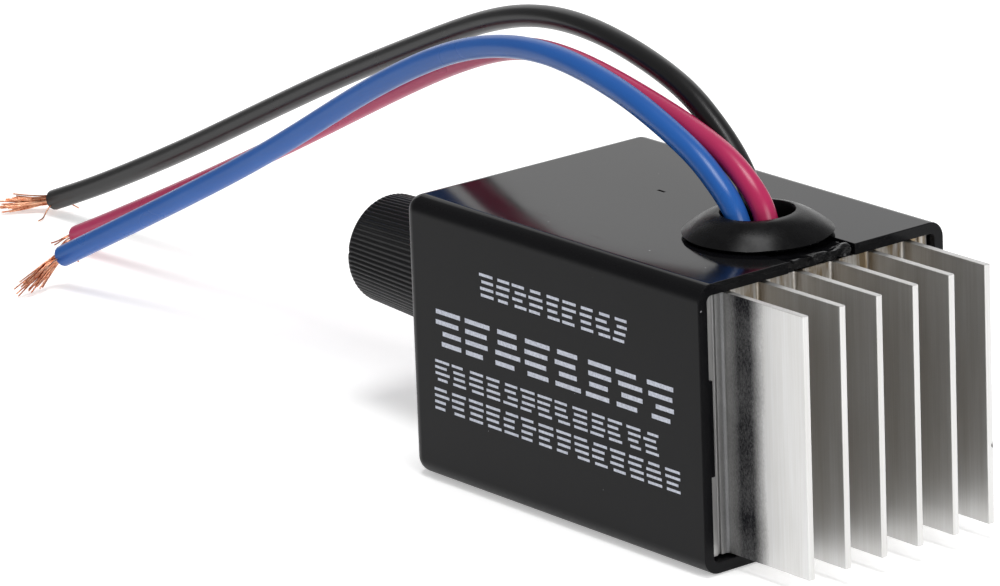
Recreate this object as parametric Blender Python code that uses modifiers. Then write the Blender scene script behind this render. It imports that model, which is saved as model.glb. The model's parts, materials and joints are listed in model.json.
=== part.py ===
"""Speed controller for a small DC motor: moulded housing, finned heat sink, control knob and wired board.

The frame has +X from the knob to the heat sink, -Y at the front wall and +Z up. The origin is the bottom
centre of the object without its three leads. Every size is in metres.
"""

import math

import bmesh
import bpy
from mathutils import Matrix, Vector

# Play between pieces that touch, and how far a cutter or a joined shape runs past a face.
GAP = 0.0003
OVERRUN = 0.001
BURY = 0.0005

# Housing: a moulded box, open at its +X end.
HOUSING_LENGTH = 0.0575
HOUSING_WIDTH = 0.040
HOUSING_HEIGHT = 0.037
SIDE_WALL = 0.0015
END_WALL = 0.002
EDGE_RADIUS = 0.0022
CAVITY_RADIUS = 0.0007
CATCH_LENGTH = 0.0123
CATCH_DEPTH = 0.0008
RAIL_REACH = 0.0016
RAIL_THICKNESS = 0.001

# Heat sink: an extrusion along Z that closes the open end.
BASE_RECESS = 0.0011
BASE_THICKNESS = 0.003
FIN_REACH = 0.0137
FIN_PITCH = 0.0059
FIN_THICKNESS = 0.00094
GROOVE_INSET = 0.0013
GROOVE_WIDTH = 0.0005
GROOVE_DEPTH = 0.0004

# Control: the knob and potentiometer share one axis along X.
KNOB_REACH = 0.029
KNOB_LENGTH = 0.021
KNOB_BASE_RADIUS = 0.0083
KNOB_TIP_RADIUS = 0.00735
KNOB_RIM_RADIUS = 0.0007
KNOB_WALL = 0.0013
KNOB_CAP = 0.0022
KNOB_HUB_WALL = 0.0016
KNOB_HOLLOW_DEPTH = 0.014
KNOB_RIBS = 72
KNOB_RIB_DEPTH = 0.00022
POINTER_ANGLE = math.radians(172)
POINTER_WIDTH = 0.0009
POINTER_START_RADIUS = 0.0026
POINTER_DEPTH = 0.0006
AXIS_HEIGHT = 0.0195
SHAFT_RADIUS = 0.003
SHAFT_PROUD = 0.0005
BUSHING_WALL = 0.0012
BUSHING_REACH = 0.0052
WASHER_THICKNESS = 0.0005
WASHER_WIDTH = 0.0022
NUT_THICKNESS = 0.002
NUT_WALL = 0.0016
POT_PLATE_THICKNESS = 0.001
TRACK_RADIUS = 0.0075
TRACK_THICKNESS = 0.0012
TRACK_HOLE_RADIUS = 0.004
TRACK_TAIL_WIDTH = 0.013
WIPER_THICKNESS = 0.0005
WIPER_WIDTH = 0.0018
ROTOR_RADIUS = 0.0062
ROTOR_THICKNESS = 0.0016
CAN_WALL = 0.0005
POT_TERMINAL_PITCH = 0.005
POT_TERMINAL_WIDTH = 0.0012
POT_TERMINAL_THICKNESS = 0.0005

# Circuit board and what stands on it.
BOARD_THICKNESS = 0.0016
BOARD_HEIGHT = 0.007
BOARD_START_GAP = 0.0012
BOARD_END_GAP = 0.0012
LEAD_RADIUS = 0.0003
LEAD_BELOW = 0.001
STANDOFF = 0.0004

# Board components: the place of each as (distance from the board's control end, y), and its sizes.
CHIP_PLACE = (0.0235, -0.0085)
CHIP_LENGTH = 0.0100
CHIP_WIDTH = 0.0064
CHIP_HEIGHT = 0.0034
CHIP_EDGE = 0.0003
CHIP_LEG = 0.0004
CHIP_LEG_PITCH = 0.00254
CHIP_ROW_OFFSET = 0.0038
CAPACITOR_PLACE = (0.0269, 0.0090)
CAPACITOR_RADIUS = 0.0065
CAPACITOR_HEIGHT = 0.020
CAPACITOR_PITCH = 0.005
SMALL_CAPACITOR_PLACE = (0.0394, 0.0125)
SMALL_CAPACITOR_RADIUS = 0.00315
SMALL_CAPACITOR_HEIGHT = 0.011
SMALL_CAPACITOR_PITCH = 0.0025
CAN_EDGE = 0.0003
CRIMP_HEIGHT = 0.0018
CRIMP_HALF_WIDTH = 0.0006
CRIMP_DEPTH = 0.0003
FILM_FROM_START = 0.0149
FILM_LENGTH = 0.0125
FILM_WIDTH = 0.005
FILM_HEIGHT = 0.0105
FILM_EDGE = 0.0004
FILM_PITCH = 0.010
REGULATOR_PLACE = (0.0344, -0.0135)
REGULATOR_RADIUS = 0.00235
REGULATOR_ROUND_ANGLE = 130
REGULATOR_HEIGHT = 0.0048
REGULATOR_LIFT = 0.003
REGULATOR_PITCH = 0.00127
AXIAL_SPAN = 0.010
AXIAL_BODY_HALF = 0.0031
AXIAL_TAPER = 0.0006
AXIAL_BULB = 0.0012
AXIAL_WAIST_START = 0.0017
AXIAL_WAIST_DEPTH = 0.00015
AXIAL_BEND = 0.0006
RESISTOR_RADIUS = 0.0012
SIGNAL_DIODE_RADIUS = 0.0009
RESISTOR_PLACES = ((0.0094, -0.0095), (0.0124, -0.0095), (0.0154, -0.0095), (0.0394, -0.0108))
FIRST_DIODE_PLACE = (0.0079, 0.0008)
SECOND_DIODE_FROM_START = 0.0101

# Power devices: TO-220 packages, upright against the heat sink.
DEVICE_SPACING = 0.018
DEVICE_WIDTH = 0.010
DEVICE_BODY_THICKNESS = 0.0045
DEVICE_BODY_HEIGHT = 0.0092
DEVICE_TAB_THICKNESS = 0.0013
DEVICE_TAB_HEIGHT = 0.0064
DEVICE_LIFT = 0.004
DEVICE_LEG_PITCH = 0.00254
DEVICE_LEG_WIDTH = 0.0008
DEVICE_LEG_THICKNESS = 0.0005
DEVICE_HOLE_LIFT = 0.0036
PAD_THICKNESS = 0.0005
PAD_MARGIN = 0.0005
SCREW_RADIUS = 0.0015
SCREW_HEAD_RADIUS = 0.0028
SCREW_HEAD_HEIGHT = 0.0018
SCREW_EDGE_HEIGHT = 0.0009
SCREW_CROWN_RADIUS = 0.0021
RECESS_REACH = 0.0013
RECESS_HALF_WIDTH = 0.0003
RECESS_DEPTH = 0.0011
SCREW_BITE = 0.0018

# Rubber grommet in the top wall, and the sealant behind it.
GROMMET_SETBACK = 0.0118
GROMMET_FLANGE_RADIUS = 0.0095
GROMMET_NECK_RADIUS = 0.0051
GROMMET_LIP_RADIUS = 0.0069
GROMMET_DOME = 0.003
GROMMET_CROWN_RADIUS = 0.0057
GROMMET_EDGE_HEIGHT = 0.0006
GROMMET_UNDERCUT = 0.0003
GROMMET_LIP = 0.0015
GROMMET_LIP_TAPER = 0.0003
GROMMET_HOLE_LENGTH = 0.0084
GROMMET_HOLE_WIDTH = 0.0094
GROMMET_MOUTH_FLARE = 1.19
GROMMET_MOUTH_DEPTH = 0.002
SEALANT_HEIGHT = 0.0014
SEALANT_EDGE = 0.0004

# Leads: PVC wire with stranded copper, cut and stripped at the free ends.
LEAD_WIRE_RADIUS = 0.0015
STRAND_BUNDLE_RADIUS = 0.0009
ROUTE_STEP = 0.0062

# Places that follow from the sizes above.
OVERALL_LENGTH = KNOB_REACH + HOUSING_LENGTH + FIN_REACH
CLOSED_X = KNOB_REACH - OVERALL_LENGTH / 2
OPEN_X = CLOSED_X + HOUSING_LENGTH
INNER_X = CLOSED_X + END_WALL
HALF_WIDTH = HOUSING_WIDTH / 2
INNER_HALF_WIDTH = HALF_WIDTH - SIDE_WALL
INNER_TOP = HOUSING_HEIGHT - SIDE_WALL
RAIL_EDGE = INNER_HALF_WIDTH - RAIL_REACH
BASE_OUTER_X = OPEN_X - BASE_RECESS
BASE_INNER_X = BASE_OUTER_X - BASE_THICKNESS
BOARD_TOP = BOARD_HEIGHT + BOARD_THICKNESS
BOARD_START_X = INNER_X + BOARD_START_GAP
BOARD_END_X = BASE_INNER_X - BOARD_END_GAP
BUSHING_RADIUS = SHAFT_RADIUS + GAP + BUSHING_WALL
POT_RADIUS = TRACK_RADIUS + GAP + CAN_WALL
TRACK_X = INNER_X + GAP + POT_PLATE_THICKNESS + GAP
WIPER_X = TRACK_X + TRACK_THICKNESS + GAP
ROTOR_X = WIPER_X + WIPER_THICKNESS + GAP
TERMINAL_X = TRACK_X + TRACK_THICKNESS + GAP
GROMMET_X = OPEN_X - GROMMET_SETBACK
SLOT_RADIUS = GROMMET_NECK_RADIUS + GAP
FILM_PLACE = (FILM_FROM_START, RAIL_EDGE - GAP - FILM_LENGTH / 2)
SECOND_DIODE_PLACE = (SECOND_DIODE_FROM_START, RAIL_EDGE - GAP - LEAD_RADIUS - AXIAL_SPAN / 2)
DIODE_PLACES = (FIRST_DIODE_PLACE, SECOND_DIODE_PLACE)
FIN_ROOM = 2 * (INNER_HALF_WIDTH - GAP - GROOVE_INSET - GROOVE_WIDTH) - FIN_THICKNESS
FIN_COUNT = int(FIN_ROOM / FIN_PITCH) + 1

# Leads in millimetres: from the board up through the grommet, over the knob end and down to the surface.
LEAD_ROUTES = {
    "blue": [
        (22.6, -3.0, 9.4), (22.9, -3.0, 13.0), (23.8, -3.0, 20.0), (24.8, -2.8, 28.0), (25.3, -2.8, 33.5),
        (25.2, -2.8, 36.5), (23.9, -2.8, 40.1), (21.9, -2.7, 41.9), (19.5, -2.5, 43.5), (16.6, -2.2, 45.3),
        (12.9, -1.8, 46.7), (4.6, -0.9, 49.3), (-1.7, -0.1, 50.5), (-10.1, 0.7, 51.7), (-18.5, 1.4, 52.2),
        (-27.4, 1.9, 51.0), (-36.0, 2.2, 48.9), (-44.7, 2.2, 45.2), (-53.3, 2.1, 40.9), (-61.9, 1.9, 36.1),
        (-70.4, 1.5, 30.8), (-81.0, 0.7, 24.7), (-89.4, -0.1, 20.2), (-101.7, -1.5, 13.7),
        (-107.8, -2.4, 10.5), (-113.9, -3.3, 7.3), (-119.5, -4.2, 4.4),
    ],
    "red": [
        (25.0, 0.0, 9.4), (25.1, 0.0, 13.0), (25.8, 0.0, 20.0), (26.6, 0.0, 28.0), (26.9, 0.0, 33.5),
        (26.9, 0.0, 36.5), (26.0, 0.1, 40.1), (24.3, 0.1, 42.0), (21.7, 0.4, 43.6), (18.8, 0.9, 45.1),
        (14.5, 1.4, 46.2), (7.4, 2.5, 47.6), (-0.7, 3.6, 48.6), (-12.2, 5.0, 50.1), (-24.3, 6.1, 50.6),
        (-33.7, 6.9, 48.4), (-42.9, 7.5, 44.9), (-52.3, 8.0, 40.7), (-61.7, 8.4, 36.1), (-71.1, 8.7, 31.4),
        (-80.3, 8.9, 26.8), (-92.2, 8.9, 21.0), (-101.6, 8.8, 16.4), (-115.7, 8.5, 9.8), (-127.4, 8.0, 4.4),
        (-133.7, 7.7, 1.7),
    ],
    "black": [
        (22.6, 3.05, 9.4), (22.9, 3.05, 13.0), (23.8, 3.05, 20.0), (24.3, 2.7, 28.0), (23.8, 1.9, 33.5),
        (23.1, 1.6, 36.5), (22.3, 1.8, 40.0), (19.1, 3.0, 42.2), (17.1, 3.8, 43.5), (13.8, 4.8, 45.3),
        (11.1, 5.3, 46.8), (6.7, 6.1, 49.0), (2.5, 6.9, 50.4), (-4.6, 7.9, 51.9), (-11.6, 8.9, 52.8),
        (-18.6, 9.8, 53.3), (-25.8, 10.7, 53.1), (-33.1, 11.6, 52.1), (-40.3, 12.3, 50.2),
        (-47.6, 13.1, 47.6), (-54.8, 13.7, 44.7), (-64.7, 14.5, 40.5), (-79.5, 15.4, 34.2),
        (-89.4, 15.9, 29.5), (-101.7, 16.3, 23.7), (-111.7, 16.5, 18.8), (-122.8, 16.6, 13.6),
        (-135.2, 16.5, 8.1), (-141.4, 16.4, 5.4), (-151.2, 16.2, 1.6),
    ],
}
# Bundles of bare strands past the cut insulation, in millimetres.
STRAND_ROUTES = {
    "blue": [(-119.8, -4.25, 4.24), (-120.6, -4.7, 3.8), (-120.9, -6.6, 2.7), (-120.6, -9.2, 1.3)],
    "red": [(-134.0, 7.68, 1.6), (-135.0, 7.4, 1.4), (-136.6, 6.2, 1.2), (-138.0, 4.6, 1.1)],
    "black": [(-151.5, 16.18, 1.5), (-152.5, 15.7, 1.35), (-154.1, 14.0, 1.2), (-155.7, 11.8, 1.1)],
}
MM = 0.001


def collection_named(name):
    found = bpy.data.collections.new(name)
    bpy.context.scene.collection.children.link(found)
    return found


def finish(name, colour, roughness, metallic=0.0):
    material = bpy.data.materials.new(name)
    material.use_nodes = True
    shader = material.node_tree.nodes["Principled BSDF"]
    shader.inputs["Base Color"].default_value = (*colour, 1.0)
    shader.inputs["Roughness"].default_value = roughness
    shader.inputs["Metallic"].default_value = metallic
    material.diffuse_color = (*colour, 1.0)
    return material


def paint(piece, colour, roughness, metallic=0.0):
    piece.data.materials.clear()
    piece.data.materials.append(finish(piece.name + "_finish", colour, roughness, metallic))
    return piece


def add_object(name, data, matrix=None):
    piece = bpy.data.objects.new(name, data)
    piece.matrix_world = matrix or Matrix.Identity(4)
    parts.objects.link(piece)
    return piece


def object_from_bmesh(name, shape, matrix=None):
    data = bpy.data.meshes.new(name)
    shape.to_mesh(data)
    shape.free()
    return add_object(name, data, matrix)


def block(name, low, high, rounding=0.0, segments=2):
    """Box between two opposite corners, its origin at its centre."""
    low, high = Vector(low), Vector(high)
    shape = bmesh.new()
    bmesh.ops.create_cube(shape, size=1.0)
    bmesh.ops.scale(shape, vec=high - low, verts=shape.verts)
    piece = object_from_bmesh(name, shape, Matrix.Translation((low + high) / 2))
    if rounding:
        bevel = piece.modifiers.new("Rounded edges", "BEVEL")
        bevel.width = rounding
        bevel.segments = segments
        bevel.limit_method = "ANGLE"
    return piece


def along(start, end):
    """Matrix that lays +Z from start towards end, centred between them."""
    start, end = Vector(start), Vector(end)
    turn = (end - start).to_track_quat("Z", "Y").to_matrix().to_4x4()
    return Matrix.Translation((start + end) / 2) @ turn


def rod(name, start, end, radius, sides=16, end_radius=None):
    """Round or, with few sides, many-sided bar between two points."""
    shape = bmesh.new()
    bmesh.ops.create_cone(
        shape,
        cap_ends=True,
        segments=sides,
        radius1=radius,
        radius2=radius if end_radius is None else end_radius,
        depth=(Vector(end) - Vector(start)).length,
    )
    piece = object_from_bmesh(name, shape, along(start, end))
    if sides > 6:
        shade_round(piece.data)
    return piece


def shade_round(mesh):
    mesh.shade_smooth()
    mesh.set_sharp_from_angle(angle=math.radians(40))


def turned(name, profile, matrix, steps=32, stretch=(1.0, 1.0)):
    """Turned solid about local Z. The profile is (radius, height), from the top down its outer side."""
    data = bpy.data.meshes.new(name)
    points = [(radius, 0.0, height) for radius, height in profile]
    edges = [(index, index + 1) for index in range(len(points) - 1)]
    if profile[0][0] > 0.0:
        edges.append((len(points) - 1, 0))
    data.from_pydata(points, edges, [])
    piece = add_object(name, data, matrix @ Matrix.Diagonal((*stretch, 1.0, 1.0)))
    screw = piece.modifiers.new("Turn", "SCREW")
    screw.steps = steps
    screw.render_steps = steps
    screw.use_merge_vertices = True
    screw.merge_threshold = 0.000001
    return settle(piece)


def settle(piece):
    """Turns the evaluated shape into a plain welded mesh and drops what made it."""
    graph = bpy.context.evaluated_depsgraph_get()
    graph.update()
    data = bpy.data.meshes.new_from_object(piece.evaluated_get(graph))
    shape = bmesh.new()
    shape.from_mesh(data)
    bmesh.ops.remove_doubles(shape, verts=shape.verts, dist=0.000001)
    shape.to_mesh(data)
    shape.free()
    shade_round(data)
    name, matrix = piece.name, piece.matrix_world.copy()
    bpy.data.objects.remove(piece)
    data.name = name
    return add_object(name, data, matrix)


def tube(name, points, radius, sides_level=2):
    """Round bar along a list of points, with closed ends."""
    data = bpy.data.curves.new(name, "CURVE")
    data.dimensions = "3D"
    data.bevel_depth = radius
    data.bevel_resolution = sides_level
    data.use_fill_caps = True
    spline = data.splines.new("POLY")
    spline.points.add(len(points) - 1)
    for place, point in zip(spline.points, points):
        place.co = (*point, 1.0)
    return add_object(name, data)


def plate(name, outline, thickness, matrix):
    """Flat piece from its outline in local X and Y, half its thickness to each side of local Z = 0."""
    data = bpy.data.curves.new(name, "CURVE")
    data.dimensions = "2D"
    data.fill_mode = "BOTH"
    data.extrude = thickness / 2
    spline = data.splines.new("POLY")
    spline.points.add(len(outline) - 1)
    for place, (x, y) in zip(spline.points, outline):
        place.co = (x, y, 0.0, 1.0)
    spline.use_cyclic_u = True
    return settle(add_object(name, data, matrix))


def boolean(piece, other, operation):
    modifier = piece.modifiers.new(operation.title() + " " + other.name, "BOOLEAN")
    modifier.operation = operation
    modifier.object = other
    return piece


def cut(piece, cutter):
    """Takes the cutter's shape out of the piece. The cutter stays, hidden from renders."""
    cutter.hide_render = True
    cutter.display_type = "WIRE"
    parts.objects.unlink(cutter)
    cutters.objects.link(cutter)
    return boolean(piece, cutter, "DIFFERENCE")


def fuse(piece, *others):
    """Makes one body of overlapping pieces."""
    for other in others:
        boolean(piece, other, "UNION")
    fused = settle(piece)
    for other in others:
        bpy.data.objects.remove(other)
    return fused


def joined(name, pieces):
    """One mesh from several separate solids, in world space, for use as one operand."""
    graph = bpy.context.evaluated_depsgraph_get()
    graph.update()
    shape = bmesh.new()
    for piece in pieces:
        data = bpy.data.meshes.new_from_object(piece.evaluated_get(graph))
        data.transform(piece.matrix_world)
        shape.from_mesh(data)
        bpy.data.meshes.remove(data)
        bpy.data.objects.remove(piece)
    bmesh.ops.remove_doubles(shape, verts=shape.verts, dist=0.000001)
    return object_from_bmesh(name, shape)


def arc(centre, radius, start, end, steps):
    """Points along an arc, the angles in degrees."""
    angles = [math.radians(start + (end - start) * step / steps) for step in range(steps + 1)]
    return [(centre[0] + radius * math.cos(a), centre[1] + radius * math.sin(a)) for a in angles]


def facing(location, local_z, local_x=(0.0, 0.0, 1.0)):
    """Matrix with local Z along one direction and local X towards another."""
    z_axis = Vector(local_z).normalized()
    x_axis = Vector(local_x)
    x_axis = (x_axis - x_axis.dot(z_axis) * z_axis).normalized()
    turn = Matrix((x_axis, z_axis.cross(x_axis), z_axis)).transposed().to_4x4()
    return Matrix.Translation(location) @ turn


def on_axis(x):
    """Local Z points along +X on the control's axis."""
    return facing((x, 0.0, AXIS_HEIGHT), (1.0, 0.0, 0.0))


# --- Housing and heat sink ------------------------------------------------------------------------


def slot_outline(radius):
    """U seen from above: round about the grommet, open past the +X end. X runs from the grommet."""
    reach = GROMMET_SETBACK + OVERRUN
    return arc((0.0, 0.0), radius, 90, 270, 16) + [(reach, -radius), (reach, radius)]


def make_housing():
    past_end = OPEN_X + 2 * EDGE_RADIUS
    housing = block(
        "housing",
        (CLOSED_X, -HALF_WIDTH, 0.0),
        (past_end, HALF_WIDTH, HOUSING_HEIGHT),
        rounding=EDGE_RADIUS,
        segments=4,
    )
    trim = block(
        "cutter_open_end",
        (OPEN_X, -HOUSING_WIDTH, -OVERRUN),
        (past_end + OVERRUN, HOUSING_WIDTH, HOUSING_HEIGHT + OVERRUN),
    )
    cavity = block(
        "cutter_cavity",
        (INNER_X, -INNER_HALF_WIDTH, SIDE_WALL),
        (past_end, INNER_HALF_WIDTH, INNER_TOP),
        rounding=CAVITY_RADIUS,
    )
    cut(housing, trim)
    cut(housing, cavity)
    inner_details = []
    for side, label in ((-1, "front"), (1, "back")):
        wall = side * (INNER_HALF_WIDTH + BURY)
        catch_edge = side * (INNER_HALF_WIDTH - CATCH_DEPTH)
        rail_edge = side * RAIL_EDGE
        middle = HOUSING_HEIGHT / 2
        inner_details.append(
            block(
                label + "_catch",
                (BASE_OUTER_X + GAP, min(wall, catch_edge), middle - CATCH_LENGTH / 2),
                (OPEN_X - GAP, max(wall, catch_edge), middle + CATCH_LENGTH / 2),
            )
        )
        for level, low in (("lower", BOARD_HEIGHT - GAP - RAIL_THICKNESS), ("upper", BOARD_TOP + GAP)):
            inner_details.append(
                block(
                    f"{label}_{level}_rail",
                    (INNER_X - BURY, min(wall, rail_edge), low),
                    (BOARD_END_X, max(wall, rail_edge), low + RAIL_THICKNESS),
                )
            )
    housing = fuse(housing, *inner_details)
    slot = plate(
        "cutter_slot",
        slot_outline(SLOT_RADIUS),
        2 * SIDE_WALL + 2 * OVERRUN,
        facing((GROMMET_X, 0.0, HOUSING_HEIGHT), (0.0, 0.0, 1.0), (1.0, 0.0, 0.0)),
    )
    cut(housing, slot)
    hole = rod(
        "cutter_control_hole",
        (CLOSED_X - OVERRUN, 0.0, AXIS_HEIGHT),
        (INNER_X + OVERRUN, 0.0, AXIS_HEIGHT),
        BUSHING_RADIUS + GAP,
        sides=32,
    )
    cut(housing, hole)
    return paint(housing, (0.012, 0.012, 0.013), 0.28)


def heat_sink_outline():
    """Section of the extrusion seen from above: base, two shallow grooves and the fins."""
    edge = INNER_HALF_WIDTH - GAP
    tip = OPEN_X + FIN_REACH
    groove_floor = BASE_OUTER_X - GROOVE_DEPTH
    groove = edge - GROOVE_INSET
    points = [(BASE_INNER_X, edge), (BASE_INNER_X, -edge), (BASE_OUTER_X, -edge)]
    points += [(BASE_OUTER_X, -groove), (groove_floor, -groove)]
    points += [(groove_floor, GROOVE_WIDTH - groove), (BASE_OUTER_X, GROOVE_WIDTH - groove)]
    first = -(FIN_COUNT - 1) / 2 * FIN_PITCH
    for index in range(FIN_COUNT):
        centre = first + index * FIN_PITCH
        low, high = centre - FIN_THICKNESS / 2, centre + FIN_THICKNESS / 2
        points += [(BASE_OUTER_X, low), (tip, low), (tip, high), (BASE_OUTER_X, high)]
    points += [(BASE_OUTER_X, groove - GROOVE_WIDTH), (groove_floor, groove - GROOVE_WIDTH)]
    points += [(groove_floor, groove), (BASE_OUTER_X, groove), (BASE_OUTER_X, edge)]
    return points


def device_rows():
    return ((-DEVICE_SPACING / 2, "mosfet"), (DEVICE_SPACING / 2, "diode"))


def device_hole_height():
    return BOARD_TOP + DEVICE_LIFT + DEVICE_BODY_HEIGHT + DEVICE_HOLE_LIFT


def make_heat_sink():
    height = INNER_TOP - SIDE_WALL - 2 * GAP
    heat_sink = plate(
        "heat_sink",
        heat_sink_outline(),
        height,
        Matrix.Translation((0.0, 0.0, HOUSING_HEIGHT / 2)),
    )
    level = device_hole_height()
    for y, label in device_rows():
        hole = rod(
            f"cutter_{label}_thread",
            (BASE_INNER_X - OVERRUN, y, level),
            (BASE_INNER_X + SCREW_BITE + GAP, y, level),
            SCREW_RADIUS + GAP,
            sides=12,
        )
        cut(heat_sink, hole)
    return paint(heat_sink, (0.72, 0.73, 0.74), 0.35, 1.0)


# --- Control knob and potentiometer ----------------------------------------------------------------


def knob_ring(radius, ribbed):
    """Points round the knob: rib crests, with a valley between two crests where it is ribbed."""
    points = []
    for index in range(KNOB_RIBS * 2):
        angle = math.pi * index / KNOB_RIBS
        reach = radius - (KNOB_RIB_DEPTH if ribbed and index % 2 else 0.0)
        points.append((reach * math.cos(angle), reach * math.sin(angle)))
    return points


def make_knob():
    """Tapered ribbed cap, hollow underneath round a hub, with a pointer groove at its rim."""
    shape = bmesh.new()
    end = KNOB_TIP_RADIUS - KNOB_RIM_RADIUS
    sections = [(KNOB_BASE_RADIUS, 0.0, True), (KNOB_TIP_RADIUS, -KNOB_LENGTH + KNOB_RIM_RADIUS, True)]
    for step in (1, 2, 3):
        angle = math.radians(30 * step)
        height = -KNOB_LENGTH + KNOB_RIM_RADIUS * (1 - math.sin(angle))
        sections.append((end + KNOB_RIM_RADIUS * math.cos(angle), height, False))
    rings = []
    for radius, height, ribbed in sections:
        rings.append([shape.verts.new((x, y, height)) for x, y in knob_ring(radius, ribbed)])
    count = len(rings[0])
    for upper, lower in zip(rings, rings[1:]):
        for index in range(count):
            following = (index + 1) % count
            shape.faces.new((upper[index], upper[following], lower[following], lower[index]))
    shape.faces.new(rings[0])
    shape.faces.new(rings[-1])
    bmesh.ops.recalc_face_normals(shape, faces=shape.faces)
    base_x = CLOSED_X - KNOB_REACH + KNOB_LENGTH
    knob = object_from_bmesh("control_knob", shape, on_axis(base_x))
    hub = SHAFT_RADIUS + GAP + KNOB_HUB_WALL
    hollow = KNOB_BASE_RADIUS - KNOB_WALL
    narrow = hollow - (KNOB_BASE_RADIUS - KNOB_TIP_RADIUS) * KNOB_HOLLOW_DEPTH / KNOB_LENGTH
    floor = -KNOB_HOLLOW_DEPTH
    ring = [(hub, OVERRUN), (hollow, OVERRUN), (hollow, 0.0), (narrow, floor), (hub, floor)]
    cut(knob, turned("cutter_knob_hollow", ring, on_axis(base_x), steps=32))
    bore_end = KNOB_LENGTH - KNOB_CAP
    bore = rod(
        "cutter_knob_bore",
        (base_x + OVERRUN, 0.0, AXIS_HEIGHT),
        (base_x - bore_end, 0.0, AXIS_HEIGHT),
        SHAFT_RADIUS + GAP,
        sides=24,
    )
    cut(knob, bore)
    pointer = block(
        "cutter_pointer",
        (-POINTER_WIDTH / 2, POINTER_START_RADIUS, -KNOB_LENGTH - OVERRUN),
        (POINTER_WIDTH / 2, KNOB_TIP_RADIUS + OVERRUN, -KNOB_LENGTH + POINTER_DEPTH),
    )
    outwards = Vector((0.0, math.cos(POINTER_ANGLE), math.sin(POINTER_ANGLE)))
    inwards_x = Vector((1.0, 0.0, 0.0))
    place = facing((base_x, 0.0, AXIS_HEIGHT), inwards_x, outwards.cross(inwards_x))
    pointer.matrix_world = place @ pointer.matrix_world
    cut(knob, pointer)
    return paint(knob, (0.012, 0.012, 0.012), 0.42)


def make_potentiometer():
    """Returns the pieces that turn with the shaft and the pieces that stay, as two lists."""
    flange_x = INNER_X + GAP
    bore = SHAFT_RADIUS + GAP
    bushing_end = -END_WALL - GAP - BUSHING_REACH
    bushing = turned(
        "potentiometer_bushing",
        [(bore, POT_PLATE_THICKNESS), (POT_RADIUS, POT_PLATE_THICKNESS), (POT_RADIUS, 0.0),
         (BUSHING_RADIUS, 0.0), (BUSHING_RADIUS, bushing_end), (bore, bushing_end)],
        on_axis(flange_x),
    )
    paint(bushing, (0.75, 0.66, 0.42), 0.3, 1.0)
    washer_inner = BUSHING_RADIUS + GAP
    washer = turned(
        "potentiometer_washer",
        [(washer_inner, WASHER_THICKNESS), (washer_inner + WASHER_WIDTH, WASHER_THICKNESS),
         (washer_inner + WASHER_WIDTH, 0.0), (washer_inner, 0.0)],
        on_axis(CLOSED_X - GAP - WASHER_THICKNESS),
    )
    paint(washer, (0.7, 0.7, 0.7), 0.3, 1.0)
    nut_x = CLOSED_X - 2 * GAP - WASHER_THICKNESS
    nut = rod(
        "potentiometer_nut",
        (nut_x - NUT_THICKNESS, 0.0, AXIS_HEIGHT),
        (nut_x, 0.0, AXIS_HEIGHT),
        (washer_inner + NUT_WALL) / math.cos(math.pi / 6),
        sides=6,
    )
    nut_bore = rod(
        "cutter_nut_bore",
        (nut_x - NUT_THICKNESS - OVERRUN, 0.0, AXIS_HEIGHT),
        (nut_x + OVERRUN, 0.0, AXIS_HEIGHT),
        washer_inner,
        sides=32,
    )
    cut(nut, nut_bore)
    paint(nut, (0.7, 0.7, 0.7), 0.3, 1.0)
    shaft_end = ROTOR_X + ROTOR_THICKNESS + SHAFT_PROUD
    shaft = rod(
        "potentiometer_shaft",
        (CLOSED_X - KNOB_REACH + KNOB_CAP + GAP, 0.0, AXIS_HEIGHT),
        (shaft_end, 0.0, AXIS_HEIGHT),
        SHAFT_RADIUS,
        sides=24,
    )
    paint(shaft, (0.75, 0.75, 0.76), 0.3, 1.0)
    rotor = turned(
        "potentiometer_rotor",
        [(bore, ROTOR_THICKNESS), (ROTOR_RADIUS, ROTOR_THICKNESS), (ROTOR_RADIUS, 0.0), (bore, 0.0)],
        on_axis(ROTOR_X),
    )
    paint(rotor, (0.05, 0.05, 0.05), 0.5)
    wiper_outer = ROTOR_RADIUS - GAP
    wiper = turned(
        "wiper_contact",
        [(wiper_outer - WIPER_WIDTH, WIPER_THICKNESS), (wiper_outer, WIPER_THICKNESS),
         (wiper_outer, 0.0), (wiper_outer - WIPER_WIDTH, 0.0)],
        on_axis(WIPER_X),
    )
    paint(wiper, (0.8, 0.55, 0.25), 0.3, 1.0)
    track = make_track_board()
    terminals = make_pot_terminals()
    case = make_pot_case(shaft_end)
    return [shaft, rotor, wiper], [bushing, washer, nut, track, case, *terminals]


def tail_bottom():
    return BOARD_TOP + GAP + STANDOFF


def make_track_board():
    """Resistance track on a round board, with a tail that holds the three terminals."""
    half = TRACK_TAIL_WIDTH / 2
    meet = math.degrees(math.asin(half / TRACK_RADIUS))
    tail = AXIS_HEIGHT - tail_bottom()
    outline = arc((0.0, 0.0), TRACK_RADIUS, 180 - meet, meet - 180, 28)
    outline += [(-tail, -half), (-tail, half)]
    track = plate(
        "resistance_track_board",
        outline,
        TRACK_THICKNESS,
        on_axis(TRACK_X + TRACK_THICKNESS / 2),
    )
    hole = rod(
        "cutter_track_hole",
        (TRACK_X - OVERRUN, 0.0, AXIS_HEIGHT),
        (TRACK_X + TRACK_THICKNESS + OVERRUN, 0.0, AXIS_HEIGHT),
        TRACK_HOLE_RADIUS,
        sides=24,
    )
    cut(track, hole)
    return paint(track, (0.22, 0.10, 0.04), 0.6)


def pot_terminal_rows():
    return ((-POT_TERMINAL_PITCH, "left"), (0.0, "centre"), (POT_TERMINAL_PITCH, "right"))


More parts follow.
